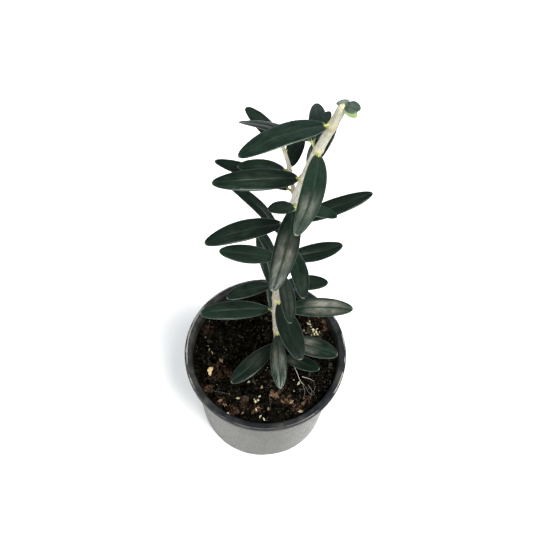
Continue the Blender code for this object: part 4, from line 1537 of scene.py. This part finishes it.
# %% Twigs and their leaves
CROWN_TIP_TWIG = (0.9, 2.0, 1.7)  # length, foot radius and tip radius in millimetres
CROWN_TIP_LEAVES = [
    (0.5, 108, 25, 2.6, 6.0, 0.0, 0),
    (0.6, -19, 10, 7.6, 5.8, 0.0, 6),
    (0.5, -42, -6, 7.6, 4.8, 0.0, 10),
]
SHOOT_TIP_TWIG = (2.5, 0.95, 0.7)
SHOOT_TIP_LEAVES = [
    (0.4, 131, 1, 28.5, 8.0, 0.0, 0),
    (0.62, 170, 55, 5.0, 1.8, 0.0, 0),
    (0.75, 20, 55, 5.0, 1.8, 0.0, 0),
]
TUFT_TWIG = (3.0, 0.9, 0.75)
BACK_TUFT_ROOT = (16.2, 11.6, 236.1)
BACK_TUFT_AXIS = (135, 45)  # heading and rise
BACK_TUFT_LEAVES = [
    (0.45, 161, -6, 36.0, 9.0, 0.0, 30),
    (0.6, 66, -3, 19.3, 6.0, 0.0, 0),
    (0.7, 170, 60, 5.0, 1.8, 0.0, 0),
    (0.8, 20, 60, 5.0, 1.8, 0.0, 0),
]
FRONT_TUFT_ROOT = (10.2, 4.15, 194.0)
FRONT_TUFT_AXIS = (-90, 35)
FRONT_TUFT_LEAVES = [
    (0.6, -158, 19, 15.0, 7.4, 0.0, 0),
    (0.7, -22, 17, 22.4, 6.8, 0.0, 0),
]
TWIG_LEAVES = len(CROWN_TIP_LEAVES + SHOOT_TIP_LEAVES + BACK_TUFT_LEAVES + FRONT_TUFT_LEAVES)
print("leaves on twigs", TWIG_LEAVES)

# %% Green twig finish
def green_twig_finish():
    finish = Finish("green twig", Specular_IOR_Level=0.3, Roughness=0.5)
    mottle = finish.noise(finish.place(), 500.0, 3.0)
    colour = finish.mix(mottle.ramp(0.35, 0.65), (0.15, 0.20, 0.06), (0.32, 0.35, 0.17))
    return finish.feed(Base_Color=colour, Normal=finish.bump(mottle, 0.08 * MM, 0.7))


GREEN_TWIG = green_twig_finish()
print("made", GREEN_TWIG.name)

# %% Growing tip tools
YOUNG_REACH = 12.0  # leaves shorter than this, in millimetres, have only just opened
TENDER = ("crown_tip_2",)  # and these are still bright green
TWIG_STEPS = 8
TWIG_SIDES = 14
TWIG_SUNK = 1.2 * MM
TWIG_COLLAR = 0.7
TWIG_STALK = PETIOLE_SHARE * 5  # as a share of the leaf
LOOKS = {
    "leaves": (LEAF, "leaf"),
    "young_leaves": (YOUNG_LEAF, "young_leaf"),
    "tender_leaves": (TENDER_LEAF, "young_leaf"),
}


def twig_body(root, along, twig):
    """A short round twig with a domed end, from inside the limb."""
    length, foot_radius, tip_radius = (size * MM for size in twig)
    whole = length + TWIG_SUNK
    points = [root + along * (-TWIG_SUNK + whole * step / TWIG_STEPS) for step in range(TWIG_STEPS + 1)]

    def surface(share, angle):
        radius = foot_radius + (tip_radius - foot_radius) * share
        return radius * min(1.0, math.sqrt(max(0.0, 1.04 - share)) * 2.2)

    return mark(tube(points, surface, TWIG_SIDES), "joint", TWIG_COLLAR)


def kind_of(leaf, reach):
    """Which of the looks a leaf on a twig has."""
    if leaf in TENDER:
        return "tender_leaves"
    return "young_leaves" if reach < YOUNG_REACH else "leaves"


def add_mass(node, root, along, twig, leaves, bark):
    """One growing tip: a piece for each kind of leaf that it has, and its twig."""
    kinds = {kind: [] for kind in LOOKS}
    length = twig[0] * MM
    for number, (share, heading, rise, reach, width, sweep, roll) in enumerate(leaves):
        line = LeafLine(root + along * (length * share), heading, rise, reach * MM, sweep, roll)
        leaf = f"{node}_{number}"
        kinds[kind_of(leaf, reach)].append(leaf_body(line, width * MM, 0.0, TWIG_STALK, leaf))
    for kind, bodies in kinds.items():
        if bodies:
            add_piece(joined(bodies), f"{node}_{kind}", *LOOKS[kind], [node])
    add_piece(twig_body(root, along, twig), f"{node}_twig", bark, "bark", [node])
    print(node, len(leaves), "leaves")


print("growing tip tools ready")

# %% Growing tips
TIP_AXIS_BELOW = 1.5 * MM  # a twig goes on as the limb runs this far below its tip


def add_end_mass(node, limb, twig, leaves):
    """The growing tip that ends a limb."""
    along = limb.axis(limb.tip - TIP_AXIS_BELOW)
    add_mass(node, limb.path[-1] + along * CLEARANCE, along, twig, leaves, BARK)


def add_tuft(node, root, axis, leaves):
    """A growing tip beside the stem, on a green twig."""
    add_mass(node, place_of(root), direction(*axis), TUFT_TWIG, leaves, GREEN_TWIG)


add_end_mass("crown_tip", STEM, CROWN_TIP_TWIG, CROWN_TIP_LEAVES)
add_end_mass("side_shoot_tip", SHOOT, SHOOT_TIP_TWIG, SHOOT_TIP_LEAVES)
add_tuft("back_tuft", BACK_TUFT_ROOT, BACK_TUFT_AXIS, BACK_TUFT_LEAVES)
add_tuft("front_tuft", FRONT_TUFT_ROOT, FRONT_TUFT_AXIS, FRONT_TUFT_LEAVES)

# %% [markdown]
# ## Buds
#
# In the angle above every leaf sits a resting bud: two tiny pointed scales, bright yellow-green against the
# pale bark. They are small, but they mark each joint and show from a step away. Each scale is a tube whose
# radius follows a short list. The shoots also fork at their tips into a few short green spurs.

# %% Bud finish
def bud_finish():
    finish = Finish("bud scales", Specular_IOR_Level=0.4, Roughness=0.5)
    along, _ = finish.uv()
    mottle = finish.noise(finish.place(), 700.0, 3.0)
    green = finish.mix(mottle.ramp(0.3, 0.7), (0.22, 0.27, 0.07), (0.38, 0.40, 0.15))
    colour = finish.mix(along.ramp(0.35, 0.0), green, (0.42, 0.33, 0.14))
    return finish.feed(Base_Color=colour, Normal=finish.bump(mottle, 0.08 * MM, 0.7))


BUD = bud_finish()
print("made", BUD.name)

# %% Bud scales
SCALE_SHAPE = (0.55, 0.95, 1.0, 0.85, 0.6, 0.32, 0.06)  # radii from foot to tip
SCALE_SIDES = 8
SCALE_LENGTH = 1.4 * MM
SCALE_RADIUS = 0.4 * MM
SCALE_LEAN = 0.3
BUD_ABOVE = 0.8 * MM  # over the joint
BUD_DEPTH = 0.8  # a bud's foot is at this share of the limb's radius


def bud_scale(root, along, length, radius):
    """One pointed scale, or a spur."""
    last = len(SCALE_SHAPE) - 1
    points = [root + along * (length * step / last) for step in range(last + 1)]
    return tube(points, lambda share, angle: radius * SCALE_SHAPE[round(share * last)], SCALE_SIDES)


def bud_scales(limb, z, heading, size):
    """The two scales above one leaf."""
    out = direction(heading, 0.0)
    axis = limb.axis(z)
    aside = axis.cross(out)
    foot = limb.at(z + BUD_ABOVE) + out * (limb.radius(z) * BUD_DEPTH)
    scales = []
    for lean in (-SCALE_LEAN, SCALE_LEAN):
        along = (axis * 0.8 + out + aside * lean).normalized()
        root = foot + aside * (lean * MM)
        scales.append(bud_scale(root, along, SCALE_LENGTH * size, SCALE_RADIUS * size))
    return scales


print("bud scales are about", round(SCALE_LENGTH / MM, 1), "mm long")

# %% Buds and spurs
BUD_SEED = 5
BUD_SIZES = (0.8, 1.25)
SHOOT_BUDS = 0.7  # the side shoot's buds are smaller
SPURS = [  # foot, heading, rise and length of each green spur
    ((16.0, 11.8, 236.6), 125, 21, 3.0), ((16.0, 11.8, 236.6), 73, 25, 3.6),
    ((3.7, 18.1, 218.3), 134, 20, 3.2), ((3.7, 18.1, 218.3), 50, 21, 2.0),
]
SPUR_RADIUS = 0.5 * MM

buds = []
maker = random.Random(BUD_SEED)
for limb, smaller in ((STEM, 1.0), (SHOOT, SHOOT_BUDS)):
    for z, leaves in limb.joints:
        for leaf in leaves:
            buds += bud_scales(limb, z, leaf[1], maker.uniform(*BUD_SIZES) * smaller)
for foot, heading, rise, length in SPURS:
    buds.append(bud_scale(place_of(foot), direction(heading, rise), length * MM, SPUR_RADIUS))
add_piece(joined(buds), "axil_buds", BUD, "young_leaf")
print("bud scales and spurs", len(buds))
